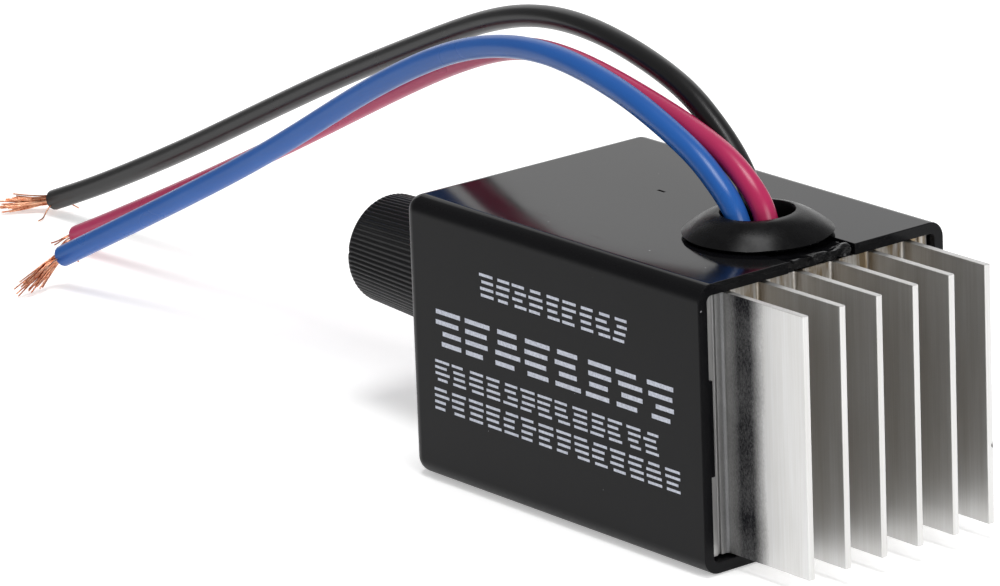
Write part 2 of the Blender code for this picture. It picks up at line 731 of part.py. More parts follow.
def make_pot_terminals():
    terminals = []
    top = AXIS_HEIGHT - ROTOR_RADIUS - GAP
    for y, label in pot_terminal_rows():
        terminal = block(
            f"potentiometer_terminal_{label}",
            (TERMINAL_X, y - POT_TERMINAL_WIDTH / 2, BOARD_HEIGHT - LEAD_BELOW),
            (TERMINAL_X + POT_TERMINAL_THICKNESS, y + POT_TERMINAL_WIDTH / 2, top),
        )
        terminals.append(paint(terminal, (0.8, 0.8, 0.8), 0.3, 1.0))
    return terminals


def make_pot_case(shaft_end):
    """Pressed can over the track and rotor, open at the bottom for the tail and terminals."""
    inner = TRACK_RADIUS + GAP
    depth = shaft_end + GAP + CAN_WALL - TRACK_X
    case = turned(
        "potentiometer_case",
        [(0.0, depth), (POT_RADIUS, depth), (POT_RADIUS, 0.0), (inner, 0.0),
         (inner, depth - CAN_WALL), (0.0, depth - CAN_WALL)],
        on_axis(TRACK_X),
    )
    half = TRACK_TAIL_WIDTH / 2 + GAP
    window = block(
        "cutter_case_window",
        (TRACK_X - OVERRUN, -half, AXIS_HEIGHT - POT_RADIUS - OVERRUN),
        (TERMINAL_X + POT_TERMINAL_THICKNESS + GAP, half, AXIS_HEIGHT - POT_RADIUS / 3),
    )
    cut(case, window)
    return paint(case, (0.62, 0.63, 0.64), 0.35, 1.0)


# --- Circuit board and components ------------------------------------------------------------------


def on_board(place):
    return (BOARD_START_X + place[0], place[1])


def pins_down(name, places, top):
    """Straight leads from a component down through the board, as one operand."""
    low = BOARD_HEIGHT - LEAD_BELOW
    pins = [
        rod(f"{name}_{index}", (x, y, low), (x, y, top), LEAD_RADIUS, 6) for index, (x, y) in enumerate(places)
    ]
    return joined(name, pins)


def chip_pins():
    """Places of the eight legs, in two rows along X."""
    x, y = on_board(CHIP_PLACE)
    columns = [x + CHIP_LEG_PITCH * (column - 1.5) for column in range(4)]
    return [(column, y + side * CHIP_ROW_OFFSET) for side in (-1, 1) for column in columns]


def pair(place, pitch):
    x, y = on_board(place)
    return [(x, y - pitch / 2), (x, y + pitch / 2)]


def regulator_pins():
    x, y = on_board(REGULATOR_PLACE)
    return [(x, y + REGULATOR_PITCH * step) for step in (-1, 0, 1)]


def device_leg_x():
    return device_back_x() - DEVICE_BODY_THICKNESS / 2


def device_back_x():
    return BASE_INNER_X - 2 * GAP - PAD_THICKNESS


def device_legs(y):
    return [y + DEVICE_LEG_PITCH * step for step in (-1, 0, 1)]


def make_capacitor(name, place, radius, height, pitch, colour):
    """Upright electrolytic can with a crimp groove near its seat and two leads."""
    base = BOARD_TOP + GAP
    crimp = radius - CRIMP_DEPTH
    can = turned(
        name,
        [(0.0, height), (radius - CAN_EDGE, height), (radius, height - CAN_EDGE),
         (radius, CRIMP_HEIGHT + CRIMP_HALF_WIDTH), (crimp, CRIMP_HEIGHT),
         (radius, CRIMP_HEIGHT - CRIMP_HALF_WIDTH), (radius, 0.0), (0.0, 0.0)],
        Matrix.Translation((*on_board(place), base)),
        steps=24,
    )
    return paint(fuse(can, pins_down(name + "_leads", pair(place, pitch), base + BURY)), colour, 0.35)


def make_axial(name, place, colour, radius):
    """Resistor or diode lying along Y above the board, its leads bent down into it."""
    x, y = on_board(place)
    level = BOARD_TOP + GAP + radius
    half = AXIAL_SPAN / 2
    low = BOARD_HEIGHT - LEAD_BELOW
    waist = radius - AXIAL_WAIST_DEPTH
    upper = [
        (waist, AXIAL_BODY_HALF),
        (radius, AXIAL_BODY_HALF - AXIAL_TAPER),
        (radius, AXIAL_BODY_HALF - AXIAL_BULB),
        (waist, AXIAL_BODY_HALF - AXIAL_WAIST_START),
    ]
    lower = [(reach, -height) for reach, height in reversed(upper)]
    profile = [(0.0, AXIAL_BODY_HALF), *upper, *lower, (0.0, -AXIAL_BODY_HALF)]
    barrel = turned(name, profile, facing((x, y, level), (0.0, 1.0, 0.0)), steps=10)
    route = [(x, y - half, low), (x, y - half, level - AXIAL_BEND), (x, y - half + AXIAL_BEND, level),
             (x, y + half - AXIAL_BEND, level), (x, y + half, level - AXIAL_BEND), (x, y + half, low)]
    lead = settle(tube(name + "_lead", route, LEAD_RADIUS, 0))
    return paint(fuse(barrel, lead), colour, 0.4)


def make_chip():
    base = BOARD_TOP + GAP + STANDOFF
    x, y = on_board(CHIP_PLACE)
    chip = block(
        "timer_chip",
        (x - CHIP_LENGTH / 2, y - CHIP_WIDTH / 2, base),
        (x + CHIP_LENGTH / 2, y + CHIP_WIDTH / 2, base + CHIP_HEIGHT),
        rounding=CHIP_EDGE,
        segments=1,
    )
    middle = base + CHIP_HEIGHT / 2
    inner = CHIP_WIDTH / 2 - BURY
    outer = CHIP_ROW_OFFSET + LEAD_RADIUS
    low = BOARD_HEIGHT - LEAD_BELOW - middle
    half = CHIP_LEG / 2
    outline = [(inner, half), (outer, half), (outer, low), (outer - CHIP_LEG, low), (outer - CHIP_LEG, -half),
               (inner, -half)]
    legs = []
    for index, (pin_x, pin_y) in enumerate(chip_pins()):
        side = math.copysign(1.0, pin_y - y)
        place = facing((pin_x, y, middle), (-side, 0.0, 0.0), (0.0, side, 0.0))
        legs.append(plate(f"leg_{index}", outline, CHIP_LEG, place))
    return paint(fuse(chip, joined("timer_chip_legs", legs)), (0.02, 0.02, 0.02), 0.5)


def make_film_capacitor():
    base = BOARD_TOP + GAP
    x, y = on_board(FILM_PLACE)
    body = block(
        "film_capacitor",
        (x - FILM_WIDTH / 2, y - FILM_LENGTH / 2, base),
        (x + FILM_WIDTH / 2, y + FILM_LENGTH / 2, base + FILM_HEIGHT),
        rounding=FILM_EDGE,
        segments=1,
    )
    leads = pins_down("film_capacitor_leads", pair(FILM_PLACE, FILM_PITCH), base + BURY)
    return paint(fuse(body, leads), (0.45, 0.09, 0.05), 0.4)


def make_regulator():
    """Small three-leg package with one flat side."""
    base = BOARD_TOP + REGULATOR_LIFT
    outline = arc((0.0, 0.0), REGULATOR_RADIUS, -REGULATOR_ROUND_ANGLE, REGULATOR_ROUND_ANGLE, 14)
    body = plate(
        "voltage_regulator",
        outline,
        REGULATOR_HEIGHT,
        facing((*on_board(REGULATOR_PLACE), base + REGULATOR_HEIGHT / 2), (0.0, 0.0, 1.0), (1.0, 0.0, 0.0)),
    )
    leads = pins_down("voltage_regulator_leads", regulator_pins(), base + BURY)
    return paint(fuse(body, leads), (0.02, 0.02, 0.02), 0.5)


def make_power_device(label, y):
    """Upright package: moulded body, metal tab with a screw hole, three legs."""
    back = device_back_x()
    base = BOARD_TOP + DEVICE_LIFT
    top = base + DEVICE_BODY_HEIGHT
    half = DEVICE_WIDTH / 2
    name = {"mosfet": "power_mosfet", "diode": "flyback_diode"}[label]
    body = block(name, (back - DEVICE_BODY_THICKNESS, y - half, base), (back - BURY, y + half, top))
    tab = block(
        name + "_tab",
        (back - DEVICE_TAB_THICKNESS, y - half, base + OVERRUN),
        (back, y + half, top + DEVICE_TAB_HEIGHT),
    )
    leg_low = device_leg_x() - DEVICE_LEG_THICKNESS / 2
    legs = [
        block(
            f"{name}_leg_{index}",
            (leg_low, leg_y - DEVICE_LEG_WIDTH / 2, BOARD_HEIGHT - LEAD_BELOW),
            (leg_low + DEVICE_LEG_THICKNESS, leg_y + DEVICE_LEG_WIDTH / 2, base + BURY),
        )
        for index, leg_y in enumerate(device_legs(y))
    ]
    device = fuse(body, tab, joined(name + "_legs", legs))
    level = device_hole_height()
    hole = rod(
        f"cutter_{label}_tab_hole",
        (back - DEVICE_TAB_THICKNESS - OVERRUN, y, level),
        (back + OVERRUN, y, level),
        SCREW_RADIUS + GAP,
        sides=16,
    )
    cut(device, hole)
    return paint(device, (0.02, 0.02, 0.02), 0.45)


def make_pad(label, y):
    """Thermal sheet between a device and the heat sink."""
    base = BOARD_TOP + DEVICE_LIFT
    front = device_back_x() + GAP
    half = DEVICE_WIDTH / 2 + PAD_MARGIN
    top = base + DEVICE_BODY_HEIGHT + DEVICE_TAB_HEIGHT + PAD_MARGIN
    pad = block(
        f"{label}_thermal_pad",
        (front, y - half, base),
        (front + PAD_THICKNESS, y + half, top),
    )
    hole = rod(
        f"cutter_{label}_pad_hole",
        (front - OVERRUN, y, device_hole_height()),
        (front + PAD_THICKNESS + OVERRUN, y, device_hole_height()),
        SCREW_RADIUS + GAP,
        sides=16,
    )
    cut(pad, hole)
    return paint(pad, (0.45, 0.5, 0.55), 0.7)


def make_screw(label, y):
    """Pan-head screw through a device's tab into the heat sink, with a cross recess."""
    seat = device_back_x() - DEVICE_TAB_THICKNESS - GAP
    length = BASE_INNER_X + SCREW_BITE - seat
    screw = turned(
        f"{label}_screw",
        [(0.0, length), (SCREW_RADIUS, length), (SCREW_RADIUS, 0.0), (SCREW_HEAD_RADIUS, 0.0),
         (SCREW_HEAD_RADIUS, -SCREW_EDGE_HEIGHT), (SCREW_CROWN_RADIUS, -SCREW_HEAD_HEIGHT),
         (0.0, -SCREW_HEAD_HEIGHT)],
        facing((seat, y, device_hole_height()), (1.0, 0.0, 0.0)),
        steps=16,
    )
    arms = []
    level = device_hole_height()
    arm_sizes = ((RECESS_REACH, RECESS_HALF_WIDTH), (RECESS_HALF_WIDTH, RECESS_REACH))
    for index, (half_y, half_z) in enumerate(arm_sizes):
        arms.append(
            block(
                f"cutter_{label}_recess_{index}",
                (seat - SCREW_HEAD_HEIGHT - OVERRUN, y - half_y, level - half_z),
                (seat - SCREW_HEAD_HEIGHT + RECESS_DEPTH, y + half_y, level + half_z),
            )
        )
    cut(screw, fuse(*arms))
    return paint(screw, (0.7, 0.7, 0.72), 0.3, 1.0)


def make_circuit_board():
    """Board in the housing's rails, with a hole for every lead that goes through it."""
    half = INNER_HALF_WIDTH - GAP
    board = block("circuit_board", (BOARD_START_X, -half, BOARD_HEIGHT), (BOARD_END_X, half, BOARD_TOP))
    round_holes = chip_pins() + regulator_pins()
    for place, pitch in (
        (CAPACITOR_PLACE, CAPACITOR_PITCH),
        (SMALL_CAPACITOR_PLACE, SMALL_CAPACITOR_PITCH),
        (FILM_PLACE, FILM_PITCH),
    ):
        round_holes += pair(place, pitch)
    for place in RESISTOR_PLACES + DIODE_PLACES:
        round_holes += pair(place, AXIAL_SPAN)
    drills = [
        rod(f"drill_{i}", (x, y, BOARD_HEIGHT - OVERRUN), (x, y, BOARD_TOP + OVERRUN), LEAD_RADIUS + GAP, 6)
        for i, (x, y) in enumerate(round_holes)
    ]
    slots = [
        (TERMINAL_X + POT_TERMINAL_THICKNESS / 2, y, POT_TERMINAL_THICKNESS, POT_TERMINAL_WIDTH)
        for y, _ in pot_terminal_rows()
    ]
    slots += [
        (device_leg_x(), leg, DEVICE_LEG_THICKNESS, DEVICE_LEG_WIDTH)
        for y, _ in device_rows()
        for leg in device_legs(y)
    ]
    for index, (x, y, thickness, width) in enumerate(slots):
        reach_x = thickness / 2 + GAP
        reach_y = width / 2 + GAP
        drills.append(
            block(
                f"slot_{index}",
                (x - reach_x, y - reach_y, BOARD_HEIGHT - OVERRUN),
                (x + reach_x, y + reach_y, BOARD_TOP + OVERRUN),
            )
        )
    cut(board, joined("cutter_board_holes", drills))
    return paint(board, (0.03, 0.16, 0.06), 0.45)


def make_electronics():
    make_circuit_board()
    make_chip()
    make_capacitor(
        "bulk_capacitor",
        CAPACITOR_PLACE,
        CAPACITOR_RADIUS,
        CAPACITOR_HEIGHT,
        CAPACITOR_PITCH,
        (0.03, 0.04, 0.1),
    )
    make_capacitor(
        "supply_capacitor",
        SMALL_CAPACITOR_PLACE,
        SMALL_CAPACITOR_RADIUS,
        SMALL_CAPACITOR_HEIGHT,
        SMALL_CAPACITOR_PITCH,
        (0.02, 0.02, 0.03),
    )
    make_film_capacitor()
    make_regulator()
    for index, place in enumerate(RESISTOR_PLACES, 1):
        make_axial(f"resistor_{index}", place, (0.55, 0.45, 0.28), RESISTOR_RADIUS)
    for index, place in enumerate(DIODE_PLACES, 1):
        make_axial(f"signal_diode_{index}", place, (0.5, 0.16, 0.05), SIGNAL_DIODE_RADIUS)
    for y, label in device_rows():
        make_power_device(label, y)
        make_pad(label, y)
        make_screw(label, y)


# --- Grommet, sealant and leads --------------------------------------------------------------------


def make_grommet():
    """Domed rubber grommet: flange above the wall, neck in the slot, lip below."""
    lip_top = -SIDE_WALL - GAP
    lip_bottom = lip_top - GROMMET_LIP
    slope = GROMMET_FLANGE_RADIUS - GROMMET_CROWN_RADIUS
    rise = GROMMET_DOME - GROMMET_EDGE_HEIGHT
    crown = [
        (GROMMET_CROWN_RADIUS + slope * math.cos(angle), GROMMET_EDGE_HEIGHT + rise * math.sin(angle))
        for angle in (math.radians(90 - 18 * step) for step in range(6))
    ]
    grommet = turned(
        "cable_grommet",
        [(0.0, GROMMET_DOME), *crown, (GROMMET_FLANGE_RADIUS - GROMMET_UNDERCUT, GAP),
         (GROMMET_NECK_RADIUS, GAP), (GROMMET_NECK_RADIUS, lip_top), (GROMMET_LIP_RADIUS, lip_top),
         (GROMMET_LIP_RADIUS - GROMMET_LIP_TAPER, lip_bottom), (0.0, lip_bottom)],
        Matrix.Translation((GROMMET_X, 0.0, HOUSING_HEIGHT)),
        steps=40,
    )
    waist = GROMMET_HOLE_WIDTH / 2
    mouth = waist * GROMMET_MOUTH_FLARE
    top = GROMMET_DOME + OVERRUN
    hole = turned(
        "cutter_grommet_hole",
        [(0.0, top), (mouth, top), (mouth, GROMMET_DOME), (waist, GROMMET_DOME - GROMMET_MOUTH_DEPTH),
         (waist, lip_bottom - OVERRUN), (0.0, lip_bottom - OVERRUN)],
        Matrix.Translation((GROMMET_X, 0.0, HOUSING_HEIGHT)),
        steps=32,
        stretch=(GROMMET_HOLE_LENGTH / GROMMET_HOLE_WIDTH, 1.0),
    )
    cut(grommet, hole)
    return paint(grommet, (0.014, 0.014, 0.014), 0.4)


def make_sealant():
    """Bead of black sealant in the slot between the grommet's neck and the open end."""
    start = GROMMET_X + GROMMET_NECK_RADIUS + GAP
    half = SLOT_RADIUS - GAP
    bead = block(
        "slot_sealant",
        (start, -half, INNER_TOP),
        (OPEN_X - GAP, half, INNER_TOP + SEALANT_HEIGHT),
        rounding=SEALANT_EDGE,
    )
    return paint(bead, (0.012, 0.012, 0.012), 0.25)


def smooth_route(points):
    """Even steps along a smooth curve through the given points."""
    ends = [points[0] * 2 - points[1], *points, points[-1] * 2 - points[-2]]
    fine = []
    for p0, p1, p2, p3 in zip(ends, ends[1:], ends[2:], ends[3:]):
        for step in range(12):
            t = step / 12
            fine.append(
                0.5 * (2 * p1 + (p2 - p0) * t + (2 * p0 - 5 * p1 + 4 * p2 - p3) * t**2
                       + (3 * p1 - p0 - 3 * p2 + p3) * t**3)
            )
    fine.append(points[-1])
    lengths = [0.0]
    for start, end in zip(fine, fine[1:]):
        lengths.append(lengths[-1] + (end - start).length)
    count = round(lengths[-1] / ROUTE_STEP)
    route, index = [], 0
    for step in range(count + 1):
        wanted = lengths[-1] * step / count
        while index < len(fine) - 2 and lengths[index + 1] < wanted:
            index += 1
        share = (wanted - lengths[index]) / (lengths[index + 1] - lengths[index])
        route.append(fine[index].lerp(fine[index + 1], share))
    return route


def make_leads():
    """Three leads, each with its stripped strands as a piece of its own past the cut insulation."""
    colours = {"blue": (0.02, 0.09, 0.42), "red": (0.45, 0.02, 0.07), "black": (0.012, 0.012, 0.012)}
    for name, points in LEAD_ROUTES.items():
        route = smooth_route([Vector(point) * MM for point in points])
        wire = tube(f"{name}_wire", route, LEAD_WIRE_RADIUS)
        paint(wire, colours[name], 0.35)
        bundle = [Vector(point) * MM for point in STRAND_ROUTES[name]]
        strands = tube(f"{name}_wire_strands", bundle, STRAND_BUNDLE_RADIUS)
        paint(strands, (0.75, 0.36, 0.22), 0.3, 1.0)


# --- Build -----------------------------------------------------------------------------------------

for leftover in list(bpy.data.objects):
    bpy.data.objects.remove(leftover)
parts = collection_named("motor_speed_controller")
cutters = collection_named("cutters")

make_housing()
make_heat_sink()
control_axis = bpy.data.objects.new("control_axis", None)
control_axis.location = (CLOSED_X, 0.0, AXIS_HEIGHT)
parts.objects.link(control_axis)
turning, fixed = make_potentiometer()
bpy.context.view_layer.update()
for moving in [make_knob(), *turning]:
    placed = moving.matrix_world.copy()
    moving.parent = control_axis
    moving.matrix_parent_inverse = Matrix.Translation(control_axis.location).inverted()
    moving.matrix_basis = placed
make_electronics()
make_grommet()
make_sealant()
make_leads()
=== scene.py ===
"""Looks of a small motor speed controller: moulded box, extruded heat sink, ribbed knob, leads."""

import json
import math
import random

import bmesh
import bpy
from mathutils import Matrix, Vector, noise


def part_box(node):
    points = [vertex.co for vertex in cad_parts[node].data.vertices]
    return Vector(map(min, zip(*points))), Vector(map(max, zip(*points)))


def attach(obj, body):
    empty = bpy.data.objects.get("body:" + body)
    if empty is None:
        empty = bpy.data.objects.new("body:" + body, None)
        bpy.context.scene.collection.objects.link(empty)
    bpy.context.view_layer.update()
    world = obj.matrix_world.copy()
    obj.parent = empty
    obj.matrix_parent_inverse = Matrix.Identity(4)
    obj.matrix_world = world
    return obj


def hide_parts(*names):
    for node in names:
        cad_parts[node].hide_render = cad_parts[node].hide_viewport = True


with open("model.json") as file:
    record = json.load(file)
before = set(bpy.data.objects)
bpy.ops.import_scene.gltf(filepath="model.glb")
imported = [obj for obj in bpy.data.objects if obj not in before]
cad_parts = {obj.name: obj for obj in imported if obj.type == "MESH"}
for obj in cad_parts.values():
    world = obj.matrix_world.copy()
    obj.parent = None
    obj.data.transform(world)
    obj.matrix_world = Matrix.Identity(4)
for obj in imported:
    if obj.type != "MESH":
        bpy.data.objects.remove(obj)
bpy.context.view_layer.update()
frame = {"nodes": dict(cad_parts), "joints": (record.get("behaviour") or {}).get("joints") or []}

MM = 0.001

# --- Camera ------------------------------------------------------------------------------------

CAMERA_PLACE = Vector((0.65116, -0.53748, 0.28506))
CAMERA_AIM = Vector((-0.00037, -0.02111, 0.02860))
CAMERA_ROLL = math.radians(2.185)
LENS_MM = 251.78
SENSOR_MM = 36.0


def make_camera():
    data = bpy.data.cameras.new("camera")
    data.lens = LENS_MM
    data.sensor_width = SENSOR_MM
    data.clip_start = 0.05
    data.clip_end = 20.0
    camera = bpy.data.objects.new("camera", data)
    bpy.context.scene.collection.objects.link(camera)
    turn = (CAMERA_AIM - CAMERA_PLACE).to_track_quat("-Z", "Y").to_matrix().to_4x4()
    roll = Matrix.Rotation(-CAMERA_ROLL, 4, "Z")
    camera.matrix_world = Matrix.Translation(CAMERA_PLACE) @ turn @ roll
    bpy.context.scene.camera = camera


# --- Materials ---------------------------------------------------------------------------------


def linear(colour):
    """sRGB hex to linear RGBA."""
    shares = [int(colour[start : start + 2], 16) / 255 for start in (1, 3, 5)]
    return (*[c / 12.92 if c <= 0.04045 else ((c + 0.055) / 1.055) ** 2.4 for c in shares], 1.0)


def feed(tree, node, inputs):
    """Sets inputs, in order or by name or number. A node stands for its first output in use."""
    for key, value in inputs.items() if isinstance(inputs, dict) else enumerate(inputs):
        if isinstance(value, bpy.types.Node):
            value = next(socket for socket in value.outputs if socket.enabled)
        if isinstance(value, bpy.types.NodeSocket):
            tree.links.new(value, node.inputs[key])
        else:
            node.inputs[key].default_value = value


def add(tree, kind, inputs=(), **settings):
    """Adds a node with its settings and links."""
    node = tree.nodes.new("ShaderNode" + kind)
    for name, value in settings.items():
        setattr(node, name, value)
    feed(tree, node, inputs)
    return node


def new_material(name, **shader_values):
    """Material, its tree, its Principled shader and the object coordinates in metres."""
    material = bpy.data.materials.new(name)
    material.use_nodes = True
    tree = material.node_tree
    shader = tree.nodes["Principled BSDF"]
    feed(tree, shader, {key.replace("_", " "): value for key, value in shader_values.items()})
    return material, tree, shader, add(tree, "TexCoord").outputs["Object"]


def grain(tree, place, size_mm, detail=3.0, roughness=0.55, stretch=(1.0, 1.0, 1.0)):
    """Noise whose lumps are about size_mm across, longer along an axis where stretch is above 1."""
    per_metre = [1.0 / (size_mm * MM * share) for share in stretch]
    scaled = add(tree, "VectorMath", (place, per_metre), operation="MULTIPLY")
    inputs = {"Vector": scaled, "Scale": 1.0, "Detail": detail, "Roughness": roughness}
    return add(tree, "TexNoise", inputs)


# Where the housing's finish turns from satin to gloss, in metres. Its top face is at Z 0.0370.
GLOSS_STARTS_Z = (0.0362, 0.0369)

# Where the heat sink's stains, painted reflection and painted shade start and end, in metres. The
# base's face is at X 0.0353, the fin tips are at X 0.0500, and the first fin's outer face is at Y
# -0.0152.
FILM_FADE_X = (0.0372, 0.0354)
FILM_EDGE_Y = (-0.0150, -0.0140)
OUTER_FACE_Y = (-0.01500, -0.01515)
BESIDE_FIN_Y = (-0.0178, -0.0152)
PAINTED_REFLECTION_RISE_X = (0.0352, 0.0380)
PAINTED_REFLECTION_FALL_X = (0.0438, 0.0402)
PAINTED_SHADE_X = (0.0358, 0.0354)
PAINTED_SHADE_Y = (-0.0176, -0.0155)
FIN_TIP_X = (0.04985, 0.05000)

# The middle part of a noise's range, which most of its surface falls in.
MIDDLE = (0.3, 0.7)


def moulded_abs():
    """Black ABS: glossy on top, from a polished mould face, and satin on spark-eroded walls."""
    material, tree, shader, place = new_material(
        "moulded_black_abs", IOR=1.53, Specular_IOR_Level=0.11
    )
    height = add(tree, "SeparateXYZ", [place]).outputs["Z"]
    on_top = add(tree, "MapRange", (height, *GLOSS_STARTS_Z))
    cloud = grain(tree, place, 9.0, 4.0)
    scratches = grain(tree, place, 1.6, 6.0, 0.7, (6.0, 1.0, 1.0))
    scuffs = add(tree, "MapRange", (scratches, 0.62, 0.78))
    tones = {0: cloud, 6: linear("#08080a"), 7: linear("#0d0d0f")}
    tint = add(tree, "Mix", tones, data_type="RGBA")
    dust = add(tree, "MapRange", (grain(tree, place, 0.8, 1.0, 0.3), 0.83, 0.86))
    colour = add(tree, "Mix", {0: dust, 6: tint, 7: linear("#8c8c90")}, data_type="RGBA")
    polish = add(tree, "MapRange", (cloud, *MIDDLE, 0.075, 0.12))
    scuffed = add(tree, "Math", (scuffs, 0.12), operation="MULTIPLY")
    gloss = add(tree, "Math", (scuffed, polish), operation="ADD")
    satin = add(tree, "MapRange", (grain(tree, place, 0.5, 2.0), *MIDDLE, 0.28, 0.36))
    rough = add(tree, "Mix", {0: on_top, 2: satin, 3: gloss}, data_type="FLOAT")
    spark = add(tree, "MapRange", (on_top, 0.0, 1.0, 1.0, 0.0))
    texture = add(tree, "Math", (grain(tree, place, 0.16, 2.0), spark), operation="MULTIPLY")
    waves = add(tree, "Math", (cloud, 0.8), operation="MULTIPLY")
    ripple = add(tree, "Math", (texture, waves), operation="ADD")
    bump = add(tree, "Bump", {"Height": ripple, "Strength": 0.12, "Distance": 0.02 * MM})
    feed(tree, shader, {"Base Color": colour, "Roughness": rough, "Normal": bump})
    return material


def extruded_aluminium():
    """Bare extruded aluminium: die lines along the fins, dull skin, painted reflection and painted
    shade by the first fin.
    """
    material, tree, shader, place = new_material("bare_extruded_aluminium", Metallic=1.0)
    parts = add(tree, "SeparateXYZ", [place])
    x, y = parts.outputs["X"], parts.outputs["Y"]
    lines = grain(tree, place, 0.22, 4.0, 0.6, (1.0, 1.0, 90.0))
    skin = add(tree, "MapRange", (lines, *MIDDLE))
    tones = {0: skin, 6: linear("#d7d6d4"), 7: linear("#e3e3e3")}
    colour = add(tree, "Mix", tones, data_type="RGBA")
    broad = grain(tree, place, 1.6, 3.0, 0.6, (1.0, 1.0, 14.0))
    streaks = add(tree, "MapRange", (broad, 0.35, 0.75, 0.0, 0.3))
    colour = add(tree, "Mix", {0: streaks, 6: colour, 7: linear("#b6b4ad")}, data_type="RGBA")
    # Brown film from the extrusion oil, in patches in the roots between the fins.
    patches = grain(tree, place, 1.2, 4.0, 0.6, (1.0, 1.0, 7.0))
    film = add(tree, "MapRange", (x, *FILM_FADE_X))
    for share in (
        add(tree, "MapRange", (patches, 0.34, 0.6)), add(tree, "MapRange", (y, *FILM_EDGE_Y)), 0.85
    ):
        film = add(tree, "Math", (film, share), operation="MULTIPLY")
    colour = add(tree, "Mix", {0: film, 6: colour, 7: linear("#856c3e")}, data_type="RGBA")
    # Painted dark reflection of the black housing wall on the outer face of the first fin, speckled
    # and uneven.
    outer = add(tree, "MapRange", (y, *OUTER_FACE_Y))
    band = add(tree, "MapRange", (x, *PAINTED_REFLECTION_RISE_X, 0.4, 1.0))
    fall = add(tree, "MapRange", (x, *PAINTED_REFLECTION_FALL_X))
    for share in (fall, outer, add(tree, "MapRange", (y, *BESIDE_FIN_Y))):
        band = add(tree, "Math", (band, share), operation="MULTIPLY")
    speckle = grain(tree, place, 0.17, 4.0, 0.75, (1.0, 1.0, 2.0))
    cover = band
    for pattern, weight in ((speckle, 0.5), (grain(tree, place, 8.0, 2.0), 0.35)):
        weighted = add(tree, "Math", (pattern, weight), operation="MULTIPLY")
        cover = add(tree, "Math", (cover, weighted), operation="ADD")
    covered = add(tree, "MapRange", (cover, 0.7, 1.5))
    inside = add(tree, "MapRange", (band, 0.0, 0.15))
    painted_reflection = add(tree, "Math", (covered, inside), operation="MULTIPLY")
    colour = add(tree, "Mix", {0: painted_reflection, 6: colour, 7: linear("#222227")}, data_type="RGBA")
    # Painted shade on the base beside the first fin, darkest close to it.
    painted_shade = add(tree, "MapRange", (x, *PAINTED_SHADE_X))
    for share in (outer, add(tree, "MapRange", (y, *PAINTED_SHADE_Y, 0.12, 0.75))):
        painted_shade = add(tree, "Math", (painted_shade, share), operation="MULTIPLY")
    colour = add(tree, "Mix", {0: painted_shade, 6: colour, 7: linear("#36373c")}, data_type="RGBA")
    # Nicks along the fin tips.
    tip = add(tree, "MapRange", (x, *FIN_TIP_X))
    spots = add(tree, "MapRange", (grain(tree, place, 1.1, 2.0), 0.74, 0.77))
    nick = add(tree, "Math", (tip, spots), operation="MULTIPLY")
    colour = add(tree, "Mix", {0: nick, 6: colour, 7: linear("#3c3a38")}, data_type="RGBA")
    dull = add(tree, "MapRange", (lines, *MIDDLE, 0.40, 0.52))
    # Rougher where the painted reflection lies.
    duller = add(tree, "Math", (painted_reflection, 0.35), operation="MULTIPLY")
    rough = add(tree, "Math", (dull, duller), operation="ADD")
    bump = add(tree, "Bump", {"Height": lines, "Strength": 0.1, "Distance": 0.015 * MM})
    feed(tree, shader, {"Base Color": colour, "Roughness": rough, "Normal": bump})
    return material


def moulded_rubber():
    """Compression moulded black rubber: dull bloom with softly polished high spots."""
    material, tree, shader, place = new_material(
        "moulded_black_rubber", IOR=1.52, Specular_IOR_Level=0.1
    )
    cloud = grain(tree, place, 2.2, 5.0, 0.65)
    tones = {0: cloud, 6: linear("#070708"), 7: linear("#121213")}
    pores = {"Height": grain(tree, place, 0.35, 3.0), "Strength": 0.15, "Distance": 0.02 * MM}
    feed(tree, shader, {
        "Base Color": add(tree, "Mix", tones, data_type="RGBA"),
        "Roughness": add(tree, "MapRange", (cloud, *MIDDLE, 0.2, 0.34)),
        "Normal": add(tree, "Bump", pores),
    })
    return material


def cured_sealant():
    """Silicone sealant, pushed in by hand: wet black gloss over lumps."""
    material, tree, shader, place = new_material(
        "cured_black_sealant", IOR=1.41, Specular_IOR_Level=0.3, Roughness=0.16
    )
    tones = {0: grain(tree, place, 1.4, 3.0), 6: linear("#060607"), 7: linear("#0e0e10")}
    lumps = {"Height": grain(tree, place, 0.9, 2.0), "Strength": 0.5, "Distance": 0.12 * MM}
    feed(tree, shader, {
        "Base Color": add(tree, "Mix", tones, data_type="RGBA"),
        "Normal": add(tree, "Bump", lumps),
    })
    return material


def knob_plastic():
    """Black ABS knob with a fine satin mould finish."""
    material, tree, shader, place = new_material(
        "moulded_knob_plastic", IOR=1.53, Specular_IOR_Level=0.15
    )
    cloud = grain(tree, place, 1.8, 4.0)
    tones = {0: cloud, 6: linear("#0a0a0b"), 7: linear("#141416")}
    spark = {"Height": grain(tree, place, 0.2, 2.0), "Strength": 0.15, "Distance": 0.02 * MM}
    feed(tree, shader, {
        "Base Color": add(tree, "Mix", tones, data_type="RGBA"),
        "Roughness": add(tree, "MapRange", (cloud, *MIDDLE, 0.32, 0.42)),
        "Normal": add(tree, "Bump", spark),
    })
    return material


def wire_pvc(name, dark, light):
    """Extruded PVC insulation: even colour and a waxy gloss that varies a little along it."""
    material, tree, shader, place = new_material(name, IOR=1.53, Specular_IOR_Level=0.34)
    tones = {0: grain(tree, place, 9.0, 1.0), 6: linear(dark), 7: linear(light)}
    feed(tree, shader, {
        "Base Color": add(tree, "Mix", tones, data_type="RGBA"),
        "Roughness": add(tree, "MapRange", (grain(tree, place, 5.0, 1.0), *MIDDLE, 0.27, 0.33)),
    })
    return material


